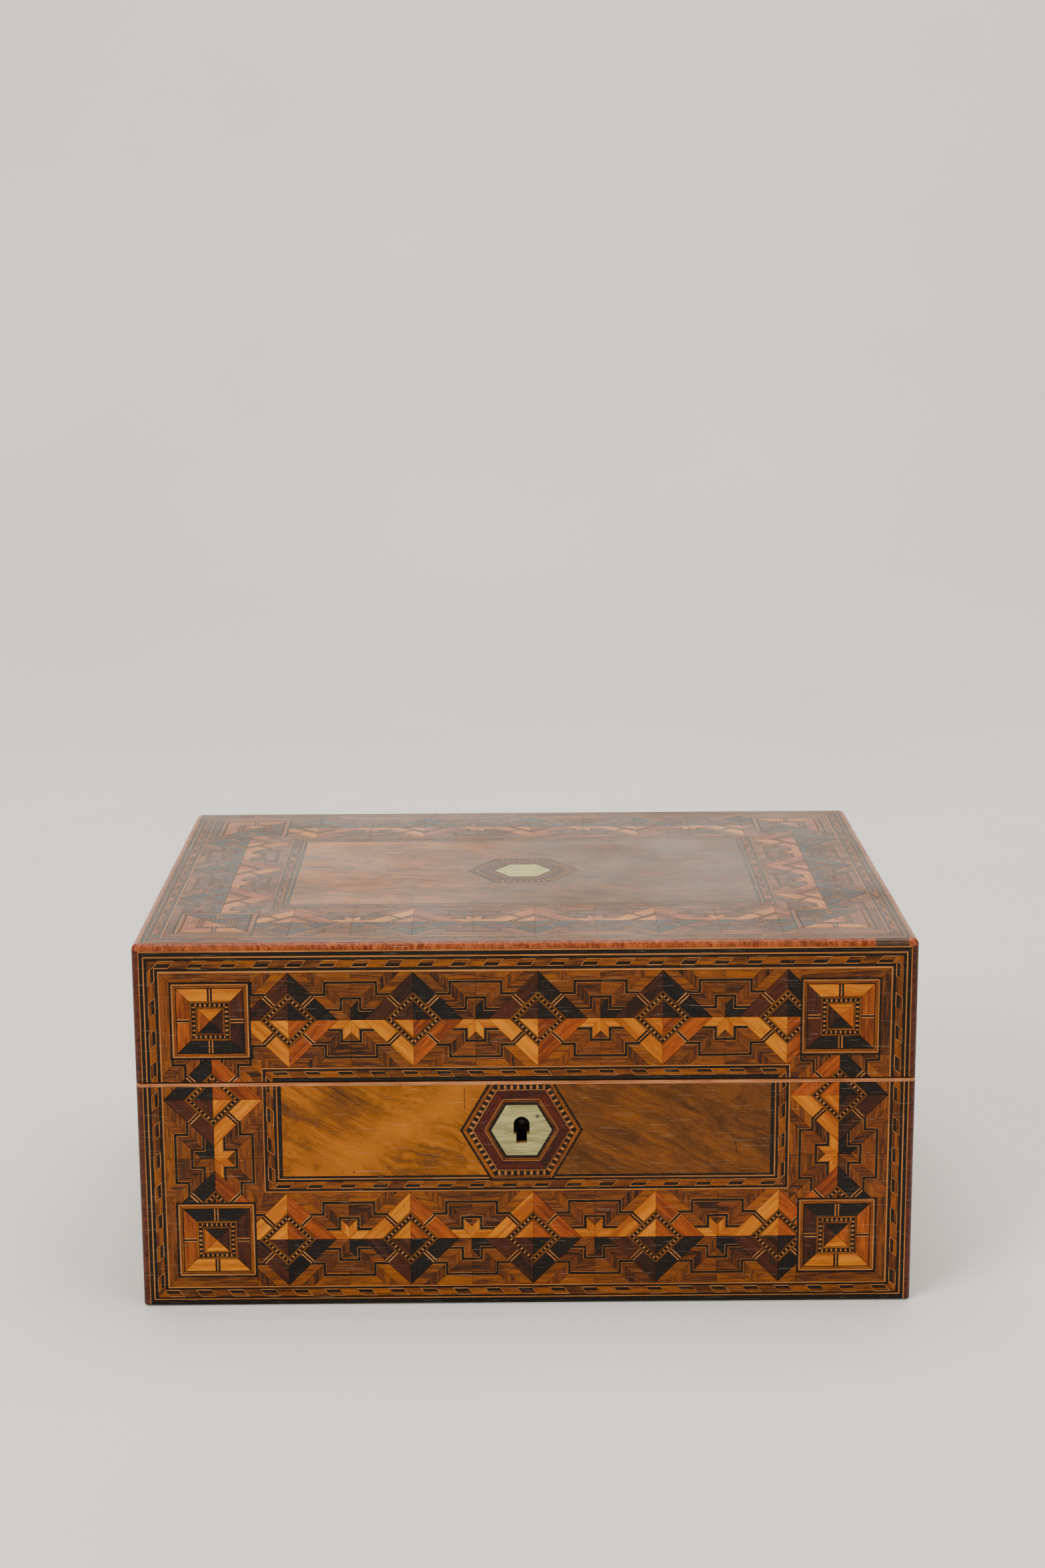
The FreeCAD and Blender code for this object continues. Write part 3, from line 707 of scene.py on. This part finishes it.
def polished_wood(name, light, dark, figure=1.0, swirl=0.5, pores=0.5, rough=0.3, grime=0.5, along=None,
                  coat=0.6, relief=0.6):
    """Polished wood.  Its grain follows the tile's own map, or with along a turn of Object coordinates."""
    made, w, shader = material(name)
    if along is None:
        vector = w.add("ShaderNodeUVMap", {"uv_map": "grain"}).outputs[0]
        tone = w.add("ShaderNodeAttribute", {"attribute_name": "tone"}).outputs["Fac"]
    else:
        vector = w.stretched(w.add("ShaderNodeTexCoord").outputs["Object"], (1, 1, 1), along)
        tone = 0.5
    grain = used(w, WOOD, Vector=vector, Tone=tone, Light=light, Dark=dark, Figure=figure, Swirl=swirl,
                 Pores=pores)
    film = used(w, POLISH, Color=grain["Color"], Rough=grain["Rough"], Height=grain["Height"],
                Base_Rough=rough, Grime=grime)
    w.join(film["Color"], shader.inputs["Base Color"])
    w.join(film["Roughness"], shader.inputs["Roughness"])
    shader.inputs["Specular IOR Level"].default_value = SHINE
    if coat:
        w.join(film["Coat"], shader.inputs["Coat Weight"])
        shader.inputs["Coat Roughness"].default_value = 0.12
        shader.inputs["Coat IOR"].default_value = COAT_IOR
    w.join(w.bump(film["Height"], relief, 0.0002), shader.inputs["Normal"])
    return made


def srgb(r, g, b):
    """A colour from its everyday 0 to 255 values."""
    c = np.array([r, g, b]) / 255
    return tuple(np.where(c < 0.04045, c / 12.92, ((c + 0.055) / 1.055) ** 2.4))


def ways(axis):
    """The turn that brings an axis of Object coordinates onto the grain."""
    return {"x": (0, 0, 0), "y": (0, 0, math.pi / 2), "z": (0, math.pi / 2, 0)}[axis]


MATERIALS = {
    "glue": polished_wood("dark_glue", srgb(40, 24, 14), srgb(18, 11, 7), 0.6, rough=0.6, coat=0),
    "ebony": polished_wood("ebony", srgb(20, 12, 8), srgb(3, 3, 2), 0.8, 0.2, 0.3, 0.26, 0.3),
    "rosewood": polished_wood("rosewood", srgb(72, 27, 6), srgb(20, 7, 2), 1.4, 0.8, 0.7, 0.3),
    "satinwood": polished_wood("satinwood", srgb(202, 122, 2), srgb(150, 74, 1), 0.8, 0.4, 0.25, 0.3, 0.5),
    "padouk": polished_wood("padouk", srgb(164, 76, 2), srgb(96, 36, 1), 1.2, 0.5, 0.6, 0.32),
    "orange": polished_wood("orange_padouk", srgb(166, 82, 3), srgb(100, 41, 1), 1.2, 0.5, 0.6, 0.32),
    "holly": polished_wood("holly_line", srgb(178, 116, 58), srgb(134, 82, 34), 0.6, 0.3, 0.2, 0.3, 0.4),
    "olive": polished_wood("olive_line", srgb(124, 72, 10), srgb(74, 40, 4), 0.8, 0.4, 0.3, 0.3),
    "walnut": polished_wood("walnut", srgb(122, 62, 5), srgb(36, 14, 2), 1.3, 1.2, 0.8, 0.32),
    "dark_walnut": polished_wood("dark_walnut", srgb(114, 56, 5), srgb(32, 12, 2), 1.5, 1.2, 0.8, 0.32),
    "gold_walnut": polished_wood("gold_walnut", srgb(138, 74, 3), srgb(62, 27, 2), 1.2, 1.0, 0.7, 0.32),
    "blocks": polished_wood("pale_blocks", srgb(174, 110, 52), srgb(126, 76, 30), 0.5, 0.2, 0.1, 0.3, 0.2),
    "mahogany": polished_wood("mahogany", srgb(82, 21, 2), srgb(36, 9, 1), 1.2, 0.6, 0.8, 0.3),
}


def burr_walnut(name, light, dark, turn, knots, heart, cracks=()):
    """A figured walnut panel: bands bent by slow swirls, small eyes where the burr grows, and open pores.

    It is darkest past heart, the place along the sheet where sapwood gives way to heartwood; a pale streak
    crosses the sapwood.  Each crack is a hairline at one place along the sheet, between two heights.
    """
    made, w, shader = material(name)
    flat = w.add("ShaderNodeUVMap", {"uv_map": "grain"}).outputs[0]
    at = w.stretched(flat, (1, 1, 1), (0, 0, math.radians(turn)))
    swirl = w.noise(at, 16.0, 3, 0.5, 0.6, "Color")
    bent = w.add("ShaderNodeVectorMath", {"operation": "MULTIPLY_ADD"})
    w.join(swirl, bent.inputs[0])
    bent.inputs[1].default_value = (0.03, 0.03, 0.03)
    w.join(at, bent.inputs[2])
    figure = w.noise(w.stretched(bent.outputs[0], (9, 75, 1)), 1.0, 6, 0.62, 0.8)
    flow = w.noise(w.stretched(bent.outputs[0], (30, 420, 1)), 1.0, 4, 0.6, 0.4)
    burr = w.add("ShaderNodeTexVoronoi", {"feature": "F1"}, Vector=bent.outputs[0], Scale=knots)
    eyes = burr.outputs["Distance"]
    share = w.math("ADD", w.math("MULTIPLY", figure, 0.68), w.math("MULTIPLY", flow, 0.32))
    share = w.spread(share, 0.34, 0.66)
    wander = w.math("MULTIPLY", w.math("SUBTRACT", w.noise(flat, 11.0, 4, 0.6), 0.5), 0.12)
    parts = w.add("ShaderNodeSeparateXYZ", Vector=flat).outputs
    past = w.spread(w.math("ADD", parts["X"], wander), heart - 0.02, heart + 0.02)
    across = w.math("SUBTRACT", parts["Y"], w.math("MULTIPLY", parts["X"], 0.42))
    across = w.math("ADD", across, w.math("MULTIPLY", wander, 0.5))
    off = w.math("ABSOLUTE", w.math("SUBTRACT", across, 0.094))
    streak = w.math("MULTIPLY", w.spread(off, 0.003, 0.014, 1.0, 0.0), w.spread(past, 0, 1, 1.0, 0.0))
    ring = w.spread(eyes, 0.02, 0.14, 0.55, 0.0)
    grain = used(w, WOOD, Vector=bent.outputs[0], Tone=0.5, Light=light, Dark=dark, Figure=0.6, Swirl=1.5,
                 Pores=0.8)
    colour = w.mix(share, w.mix(0.45, grain["Color"], dark), w.mix(0.4, grain["Color"], light))
    clouds = w.spread(w.noise(bent.outputs[0], 60.0, 4, 0.62), 0.47, 0.6)
    colour = w.mix(w.math("MULTIPLY", clouds, 0.5), colour, w.mix(0.75, colour, dark))
    colour = w.mix(w.math("MULTIPLY", streak, 0.65), colour, light)
    colour = w.mix(w.math("MULTIPLY", past, 0.62), colour, w.mix(0.9, colour, dark))
    colour = w.mix(ring, colour, w.mix(0.8, colour, (0.02, 0.01, 0.004)))
    for place, low, high in cracks:
        ragged = w.math("ADD", parts["X"], w.math("MULTIPLY", wander, 0.1))
        near = w.math("ABSOLUTE", w.math("SUBTRACT", ragged, place))
        mid = w.math("ABSOLUTE", w.math("SUBTRACT", parts["Y"], (low + high) / 2))
        split = w.math("MULTIPLY", w.spread(near, 0.0001, 0.00025, 0.85, 0.0),
                       w.spread(mid, (high - low) / 2 - 0.001, (high - low) / 2, 1.0, 0.0))
        colour = w.mix(split, colour, (0.012, 0.006, 0.003))
    film = used(w, POLISH, Color=colour, Rough=grain["Rough"], Height=grain["Height"], Base_Rough=0.26,
                Grime=0.4)
    w.join(film["Color"], shader.inputs["Base Color"])
    w.join(film["Roughness"], shader.inputs["Roughness"])
    w.join(film["Coat"], shader.inputs["Coat Weight"])
    shader.inputs["Specular IOR Level"].default_value = SHINE
    shader.inputs["Coat Roughness"].default_value = 0.1
    shader.inputs["Coat IOR"].default_value = COAT_IOR
    w.join(w.bump(film["Height"], 0.5, 0.0002), shader.inputs["Normal"])
    return made


CRACKS = ((-0.0248, 0.0805, 0.0905), (-0.1, 0.06, 0.071), (0.083, 0.062, 0.068))
MATERIALS["front_panel"] = burr_walnut(
    "front_panel_walnut", srgb(178, 102, 5), srgb(56, 30, 2), 28, 60.0, -0.012, CRACKS)
MATERIALS["top_panel"] = burr_walnut(
    "top_panel_walnut", srgb(192, 114, 14), srgb(52, 25, 4), 8, 45.0, -0.02)
MATERIALS["side_panel"] = burr_walnut(
    "side_panel_walnut", srgb(174, 94, 6), srgb(74, 35, 4), 12, 55.0, 0.01)

# One strip mahogany in three tones by the way a strip runs: the upright corner strips (z) are darkened as
# painted shade, and the left and right runs (y) are lighter than the front and back runs (x).
STRIP_WOOD_SHADED_UPRIGHTS = {
    axis: polished_wood(f"strip_mahogany_{axis}", light, dark, 1.6, 0.6, 0.9, 0.36, 0.7, ways(across), 0.3)
    for axis, across, light, dark in (
        ("x", "z", srgb(170, 88, 44), srgb(96, 38, 17)), ("y", "z", srgb(196, 104, 62), srgb(122, 50, 24)),
        ("z", "x", srgb(94, 38, 18), srgb(44, 15, 6)),
    )
}
PATCH_WOOD = polished_wood(
    "patch_wood", srgb(112, 84, 66), srgb(52, 38, 30), 1.2, 0.5, 1.0, 0.5, 0.9, ways("x"), 0.2)
FACING_WOOD = polished_wood(
    "rim_facing_wood", srgb(190, 128, 84), srgb(140, 84, 48), 1.0, 0.4, 0.5, 0.36, 0.6, ways("x"), 0.4)
PINE, STAINED, LINING_WOOD = ({
    axis: polished_wood(f"{name}_{axis}", light, dark, figure, swirl, pores, rough, grime, ways(axis), coat)
    for axis in "xy"
} for name, light, dark, figure, swirl, pores, rough, grime, coat in (
    ("pine", srgb(196, 150, 92), srgb(152, 104, 56), 0.8, 1.0, 0.3, 0.55, 0.6, 0),
    ("stained_lid", srgb(150, 88, 44), srgb(92, 46, 20), 1.0, 0.8, 0.6, 0.4, 0.6, 0.2),
    ("lining_mahogany", srgb(150, 74, 44), srgb(92, 38, 22), 1.1, 0.6, 0.8, 0.34, 0.4, 0.3),
))


def pearl(name, pale, deep, glow, chip):
    """Mother of pearl: wavy growth bands of cream, green and pink, fine scratches, and a dark chip."""
    made, w, shader = material(name)
    at = w.add("ShaderNodeTexCoord").outputs["Object"]
    cloud = w.noise(at, 70.0, 4, 0.55, 1.5)
    growth = w.noise(w.stretched(at, (60, 200, 320), (0.3, 0.2, 0.6)), 1.0, 5, 0.6, 2.0)
    colour = w.mix(w.spread(growth, 0.35, 0.65), deep, pale)
    colour = w.mix(w.spread(cloud, 0.5, 0.75), colour, glow)
    gap = w.add("ShaderNodeVectorMath", {"operation": "DISTANCE"})
    w.join(at, gap.inputs[0])
    gap.inputs[1].default_value = chip
    worn = w.math("ADD", gap.outputs["Value"], w.math("MULTIPLY", cloud, 0.0006))
    colour = w.mix(w.spread(worn, 0.0009, 0.0013, 0.9, 0.0), colour, (0.02, 0.014, 0.008))
    film = used(w, POLISH, Color=colour, Rough=0.0, Height=growth, Base_Rough=0.2, Grime=0.6)
    w.join(film["Color"], shader.inputs["Base Color"])
    w.join(film["Roughness"], shader.inputs["Roughness"])
    shader.inputs["Coat Weight"].default_value = 0.35
    shader.inputs["Coat Roughness"].default_value = 0.08
    shader.inputs["Thin Film Thickness"].default_value = 380.0
    shader.inputs["Thin Film IOR"].default_value = 1.4
    w.join(w.bump(film["Height"], 0.35, 0.0002), shader.inputs["Normal"])
    return made


def metal(name, bright, dull, rough):
    """Aged metal: tarnish in patches, rubbed streaks and small pits."""
    made, w, shader = material(name)
    at = w.add("ShaderNodeTexCoord").outputs["Object"]
    patch = w.noise(at, 120.0, 5, 0.6, 0.4)
    rub = w.noise(w.stretched(at, (300, 3000, 3000)), 1.0, 3, 0.6)
    both = w.math("ADD", w.math("MULTIPLY", patch, 0.75), w.math("MULTIPLY", rub, 0.25))
    share = w.spread(both, 0.38, 0.62)
    w.join(w.mix(share, dull, bright), shader.inputs["Base Color"])
    w.join(w.spread(share, 0, 1, rough + 0.2, rough), shader.inputs["Roughness"])
    shader.inputs["Metallic"].default_value = 1.0
    w.join(w.bump(w.math("ADD", w.math("MULTIPLY", rub, 0.5), patch), 0.3, 0.0002), shader.inputs["Normal"])
    return made


def cloth(name, light, dark, weave, fuzz, worn=0.3, sheen=0.4):
    """Woven or felted cloth on Object coordinates: crossed threads, fibres, and patches of wear."""
    made, w, shader = material(name)
    at = w.add("ShaderNodeTexCoord").outputs["Object"]
    warp = w.noise(w.stretched(at, (weave, weave * 0.15, weave * 0.15)), 1.0, 2, 0.5)
    weft = w.noise(w.stretched(at, (weave * 0.15, weave, weave)), 1.0, 2, 0.5)
    fibre = w.noise(at, fuzz, 3, 0.7)
    patch = w.noise(at, 14.0, 4, 0.6)
    thread = w.math("ADD", w.math("MULTIPLY", warp, 0.5), w.math("MULTIPLY", weft, 0.5))
    height = w.math("ADD", w.math("MULTIPLY", thread, 0.6), w.math("MULTIPLY", fibre, 0.4))
    share = w.spread(height, 0.38, 0.62)
    colour = w.mix(share, dark, light)
    faded = w.mix(0.5, colour, (0.5, 0.45, 0.38))
    colour = w.mix(w.math("MULTIPLY", w.spread(patch, 0.45, 0.75), worn), colour, faded)
    w.join(colour, shader.inputs["Base Color"])
    w.join(w.spread(patch, 0.3, 0.7, 0.95, 0.75), shader.inputs["Roughness"])
    shader.inputs["Sheen Weight"].default_value = sheen
    shader.inputs["Sheen Roughness"].default_value = 0.4
    w.join(w.bump(height, 0.7, 0.0004), shader.inputs["Normal"])
    return made


FRONT_PEARL = pearl(
    "front_pearl", srgb(180, 166, 110), srgb(120, 110, 62), srgb(164, 162, 108), (0.0043, -0.114, 0.0783))
TOP_PEARL = pearl(
    "top_pearl", srgb(206, 204, 84), srgb(150, 148, 44), srgb(180, 196, 84), (-0.0076, -0.003, 0.149))
BRASS = metal("aged_brass", srgb(214, 172, 96), srgb(120, 88, 42), 0.26)
STEEL = metal("old_steel", srgb(150, 148, 144), srgb(70, 64, 60), 0.34)
# Far darker than the old steel: the lock's own iron, darkened further as painted shade so that the lock plate
# and drill pin behind the keyhole read as a dark hole with no glint.
DARK_IRON_KEYHOLE_SHADE = metal("dark_iron_keyhole_shade", srgb(58, 52, 48), srgb(20, 16, 14), 0.4)
BAIZE = cloth("green_baize", srgb(98, 108, 84), srgb(48, 56, 42), 1500.0, 2600.0, 0.6)
VELVET = cloth("crimson_velvet", srgb(124, 20, 28), srgb(56, 6, 11), 3200.0, 3600.0, 0.05, 0.3)
SATIN = cloth("quilted_satin", srgb(156, 34, 42), srgb(92, 13, 21), 2200.0, 1400.0, 0.1, 0.15)

CAD_FINISH = {
    # The corner strips take the darker upright copy of the mahogany, which is painted shade.
    "base_corner_strips": STRIP_WOOD_SHADED_UPRIGHTS["z"], "lid_corner_strips": STRIP_WOOD_SHADED_UPRIGHTS["z"],
    "lid_front_strip": STRIP_WOOD_SHADED_UPRIGHTS["x"], "lid_back_strip": STRIP_WOOD_SHADED_UPRIGHTS["x"],
    "lid_left_strip": STRIP_WOOD_SHADED_UPRIGHTS["y"], "lid_right_strip": STRIP_WOOD_SHADED_UPRIGHTS["y"],
    "lid_strip_patch": PATCH_WOOD, "base_rim_facing": FACING_WOOD, "underside_baize": BAIZE,
    # The lock plate and drill pin behind the keyhole take the darkened iron, which is painted shade.
    "lock_plate": DARK_IRON_KEYHOLE_SHADE, "lock_drill_pin": DARK_IRON_KEYHOLE_SHADE, "lock_spring": STEEL, "hinge_pins": STEEL,
    "keyhole_plate": FRONT_PEARL, "lid_plaque": TOP_PEARL, "lid_pad_frame": LINING_WOOD["x"],
}
for end, axis in (("front", "x"), ("back", "x"), ("left", "y"), ("right", "y")):
    CAD_FINISH[f"base_{end}_board"] = PINE[axis]
    CAD_FINISH[f"lid_{end}_board"] = STAINED[axis]
    CAD_FINISH[f"lining_{end}"] = LINING_WOOD[axis]
CAD_FINISH["base_bottom_board"] = CAD_FINISH["lid_top_board"] = PINE["x"]


def finish_cad_nodes():
    """Gives each node that stays in view its finish; fittings with no line of their own are brass."""
    for name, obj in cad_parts.items():
        finish = CAD_FINISH.get(name, BRASS)
        obj.data.materials.clear()
        obj.data.materials.append(finish)


# ---------------------------------------------------------------- the box's faces

OUTSIDE_FRONT = [
    ("holly", 0.5, 0, 0.5, 0.7), ("ebony", 1.2, 1.9, 1.2, 1.5), ("holly", 0.6, 0.55, 0.6, 0.75),
    ("ebony", 1.05, 0.65, 1.05, 0.95), ("ribbon", 3.0, 3.1, 3.0, 3.2), ("ebony", 1.0, 0.7, 1.0, 1.05),
    ("holly", 0.75, 0.6, 0.75, 0.85),
]
INSIDE_FRONT = [
    ("holly", 0.6, 0.65, 0.6, 0.55), ("ebony", 0.9, 0.85, 0.9, 0.85), ("turned_ribbon", 3.0, 3.0, 3.0, 2.7),
    ("ebony", 0.9, 0.8, 0.9, 1.8), ("holly", 0.65, 0.6, 0.65, 0), ("ebony", 1.45, 0.9, 1.45, 0.4),
]
OUTSIDE_TOP = [
    (wood, width, width, width, width)
    for wood, width in (("holly", 0.5), ("ebony", 1.2), ("holly", 0.6), ("ebony", 1.05), ("ribbon", 3.0),
                        ("ebony", 1.0), ("holly", 0.75))
]
INSIDE_TOP = [
    (wood, width, width, width, width)
    for wood, width in (("holly", 0.55), ("ebony", 0.9), ("turned_ribbon", 3.0), ("ebony", 1.0),
                        ("holly", 0.6), ("ebony", 1.25))
]
FRAME_IN = 8.1
BAND = 38.5
TOP_BAND = 41.5
PANEL_LOW = 47.4
PANEL_HIGH = 98.9
KEY_HEXAGON = (-1.9, 72.6)
PLAQUE_HEXAGON = (0.0, 0.0)
HINGE_ROOM = 20.0
HINGE_RISE = 3.0

FACES = {
    "front": ((1, 0, 0), (0, 0, 1)), "back": ((-1, 0, 0), (0, 0, 1)),
    "left": ((0, -1, 0), (0, 0, 1)), "right": ((0, 1, 0), (0, 0, 1)),
}


def flat_box(node, right, up):
    """A node's lowest and highest corners along a face's right and up, in millimetres."""
    ends = np.array([list(c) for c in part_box(node)]) / MM
    across = np.sort(ends @ np.array(right, float))
    tall = np.sort(ends @ np.array(up, float))
    return across[0], tall[0], across[1], tall[1]


def cut_round(shapes, hole):
    """Each outline less a rectangular hole."""
    room = [(hole[0], hole[1]), (hole[2], hole[1]), (hole[2], hole[3]), (hole[0], hole[3])]
    kept = []
    for shape in shapes:
        low, high = shape.min(0), shape.max(0)
        apart = low[0] >= hole[2] or high[0] <= hole[0] or low[1] >= hole[3] or high[1] <= hole[1]
        kept += [shape] if apart else without(shape, room)
    return kept


def hinge_holes(side):
    """The rectangles on the back face that the hinge knuckles need."""
    if side != "back":
        return []
    low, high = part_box("hinge_pins")
    middle = (low.z + high.z) / 2 / MM
    reach = high.x / MM - HINGE_ROOM + 1
    return [(sx * reach - HINGE_ROOM, middle - HINGE_RISE, sx * reach + HINGE_ROOM, middle + HINGE_RISE)
            for sx in (-1, 1)]


def lay_side(side):
    """One upright face, drawn whole and then parted at the seam."""
    right, up = FACES[side]
    base, lid = (flat_box(f"{case}_{side}_veneer", right, up) for case in ("base", "lid"))
    outer = (base[0], base[1], base[2], lid[3])
    inner = (outer[0] + FRAME_IN + BAND, PANEL_LOW, outer[2] - FRAME_IN - BAND, PANEL_HIGH)
    # Where the lozenges of the lower band, the upper band and the upright bands start.
    starts = {"front": (-94.5, -92.2, 37.5), "back": (-93.0, -95.0, 37.5)}.get(side, (-54.5, -53.0, 37.5))
    wood = "front_panel" if side in ("front", "back") else "side_panel"
    hexagon = KEY_HEXAGON if side == "front" else None
    cut = (base[3] + lid[1]) / 2
    whole = laid_face(outer, OUTSIDE_FRONT, INSIDE_FRONT, inner, starts, wood, hexagon, cut)
    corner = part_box(f"base_{side}_veneer")[0 if side in ("front", "left") else 1]
    depth = abs(np.dot(corner, np.cross(right, up)))
    origin = depth * np.cross(right, up)
    for case, span in (("base", base), ("lid", lid)):
        tiles = []
        for tile_wood, shape, grain, seamless in whole.tiles:
            left = [clipped(shape, window(*span))]
            for hole in hinge_holes(side):
                left = cut_round([s for s in left if len(s) > 2], hole)
            tiles += [(tile_wood, s, grain, seamless) for s in left if worth_laying(s)]
        sheet = np.array([(span[0], span[1]), (span[2], span[1]), (span[2], span[3]), (span[0], span[3])])
        slabs = [sheet]
        for hole in hinge_holes(side):
            slabs = cut_round(slabs, hole)
        nodes = [f"{case}_{side}_veneer"]
        if case == "base" and hexagon:
            slabs = without(sheet, polygon(6, HEX_RINGS[-1][0], shift(*hexagon)))
            nodes.append("keyhole_surround")
        face_mesh(f"{case}_{side}_parquetry", tiles, slabs, origin, right, up, case, nodes)


def lay_top():
    """The lid's upper face."""
    right, up = (1, 0, 0), (0, 1, 0)
    outer = flat_box("lid_top_veneer", right, up)
    inner = (outer[0] + FRAME_IN + BAND, outer[1] + FRAME_IN + TOP_BAND,
             outer[2] - FRAME_IN - BAND, outer[3] - FRAME_IN - TOP_BAND)
    starts = (-93.0, -93.0, -43.0)
    whole = laid_face(outer, OUTSIDE_TOP, INSIDE_TOP, inner, starts, "top_panel", PLAQUE_HEXAGON)
    sheet = [(outer[0], outer[1]), (outer[2], outer[1]), (outer[2], outer[3]), (outer[0], outer[3])]
    slabs = without(sheet, polygon(6, HEX_RINGS[-1][0], shift(*PLAQUE_HEXAGON)))
    origin = (0, 0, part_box("lid_top_veneer")[1].z)
    nodes = ["lid_top_veneer", "plaque_surround"]
    face_mesh("lid_top_parquetry", whole.tiles, slabs, origin, right, up, "lid", nodes)


# ---------------------------------------------------------------- padded panels


def cushion(name, node, body, facing, pitch, depth, finish):
    """A padded panel: a crowned rectangle stitched in diamonds.

    The height is the panel's thickness times (1 - a^10)^0.4 (1 - b^10)^0.4, where a and b run from -1 to 1
    across it, less a groove along each line of stitching and plus a puff in the middle of each diamond.
    """
    low, high = (np.array(list(c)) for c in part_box(node))
    across, deep = 280, 200
    a, b = np.meshgrid(np.linspace(-1, 1, across), np.linspace(-1, 1, deep), indexing="ij")
    a, b = np.sin(a * np.pi / 2), np.sin(b * np.pi / 2)
    half = (high - low) / 2
    x, y = a * half[0], b * half[1]
    edge = (1 - np.abs(a) ** 10).clip(0) ** 0.4 * (1 - np.abs(b) ** 10).clip(0) ** 0.4
    d1 = np.abs((x + y) / pitch - np.round((x + y) / pitch)) * pitch / math.sqrt(2)
    d2 = np.abs((x - y) / pitch - np.round((x - y) / pitch)) * pitch / math.sqrt(2)
    line = np.minimum(d1, d2)
    puff = np.sqrt(np.clip(np.sin(np.pi * np.clip(d1 * math.sqrt(2) / pitch, 0, 1))
                           * np.sin(np.pi * np.clip(d2 * math.sqrt(2) / pitch, 0, 1)), 0, 1))
    pucker = np.exp(-(line / 0.0016) ** 2) * (0.9 + 0.1 * np.sin(np.maximum(d1, d2) / 0.0009))
    thick = high[2] - low[2]
    crown = thick * (0.62 + 0.36 * puff) - depth * pucker
    crown = np.maximum(crown, thick * 0.2) * edge
    foot = low[2] if facing > 0 else high[2]
    upper = np.stack([x + (low[0] + high[0]) / 2, y + (low[1] + high[1]) / 2, foot + facing * crown], axis=-1)
    lower = upper.copy()
    lower[..., 2] = foot
    verts = np.concatenate([upper.reshape(-1, 3), lower.reshape(-1, 3)])
    i, j = np.meshgrid(np.arange(across - 1), np.arange(deep - 1), indexing="ij")
    corner = (i * deep + j).ravel()
    quads = np.stack([corner, corner + deep, corner + deep + 1, corner + 1], axis=1)
    under = quads[:, ::-1] + across * deep
    faces = np.concatenate([quads, under])
    if facing < 0:
        faces = faces[:, ::-1]
    obj = mesh_object(name, verts, faces.tolist(), smooth=True)
    weld(obj)
    obj.data.materials.append(finish)
    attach(obj, body)
    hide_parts(node)
    return obj


def weld(obj, reach=1e-6):
    """Joins the points of a mesh that lie in one place."""
    work = bmesh.new()
    work.from_mesh(obj.data)
    bmesh.ops.remove_doubles(work, verts=work.verts, dist=reach)
    bmesh.ops.recalc_face_normals(work, faces=work.faces)
    work.to_mesh(obj.data)
    work.free()


# ---------------------------------------------------------------- floor, light and camera


def stage_and_light():
    """A pale floor that curves up into a backdrop, soft lights and a pale surround."""
    across = np.linspace(-4, 4, 3)
    turn = np.linspace(0, math.pi / 2, 17)
    y = np.concatenate([[-4.0], 1.2 + 1.0 * np.sin(turn), [2.2]])
    z = np.concatenate([[0.0], 1.0 - 1.0 * np.cos(turn), [4.0]])
    xx, yy = np.meshgrid(across, y, indexing="ij")
    zz = np.broadcast_to(z, xx.shape)
    count = len(y)
    i, j = np.meshgrid(np.arange(2), np.arange(count - 1), indexing="ij")
    corner = (i * count + j).ravel()
    quads = np.stack([corner, corner + count, corner + count + 1, corner + 1], axis=1)
    floor = mesh_object("floor", np.stack([xx, yy, zz], axis=-1).reshape(-1, 3), quads.tolist(), smooth=True)
    made, w, shader = material("pale_floor")
    at = w.add("ShaderNodeTexCoord").outputs["Object"]
    shade = w.spread(w.noise(at, 3.0, 3, 0.5), 0.3, 0.7)
    w.join(w.mix(shade, srgb(234, 229, 219), srgb(240, 236, 227)), shader.inputs["Base Color"])
    shader.inputs["Roughness"].default_value = 0.85
    floor.data.materials.append(made)
    for name, place, aim, size, power in (
        ("window_left", (-1.6, -1.7, 1.5), (0, 0, 0.08), 1.3, 57),
        ("fill_right", (1.8, -1.7, 1.1), (0, 0, 0.08), 1.5, 27),
        ("overhead", (0.1, 0.35, 2.2), (0, 0.8, 0.15), 1.8, 58),
    ):
        light = bpy.data.lights.new(name, "AREA")
        light.shape = "SQUARE"
        light.size = size
        light.energy = power
        lamp = bpy.data.objects.new(name, light)
        lamp.location = place
        aim_at(lamp, aim)
        bpy.context.collection.objects.link(lamp)
    world = bpy.data.worlds.new("surround")
    world.use_nodes = True
    world.node_tree.nodes["Background"].inputs["Color"].default_value = (1.0, 0.98, 0.95, 1)
    world.node_tree.nodes["Background"].inputs["Strength"].default_value = 0.12
    bpy.context.scene.world = world


def aim_at(obj, target):
    """Turns a light to look at a place."""
    obj.rotation_euler = (Vector(target) - obj.location).to_track_quat("-Z", "Y").to_euler()


def camera():
    """The view from just above the box's front."""
    data = bpy.data.cameras.new("view")
    data.sensor_fit = "VERTICAL"
    data.sensor_height = 36.0
    data.lens = 59.63
    obj = bpy.data.objects.new("view", data)
    obj.location = (-0.0075, -1.0809, 0.4195)
    obj.rotation_euler = (math.radians(77.855), math.radians(0.312), math.radians(-0.465))
    bpy.context.collection.objects.link(obj)
    bpy.context.scene.camera = obj


camera()
stage_and_light()
for side in FACES:
    lay_side(side)
lay_top()
cushion("floor_cushion", "floor_pad", "base", 1, 0.034, 0.0012, VELVET)
cushion("lid_cushion", "lid_pad", "lid", -1, 0.030, 0.0030, SATIN)
finish_cad_nodes()
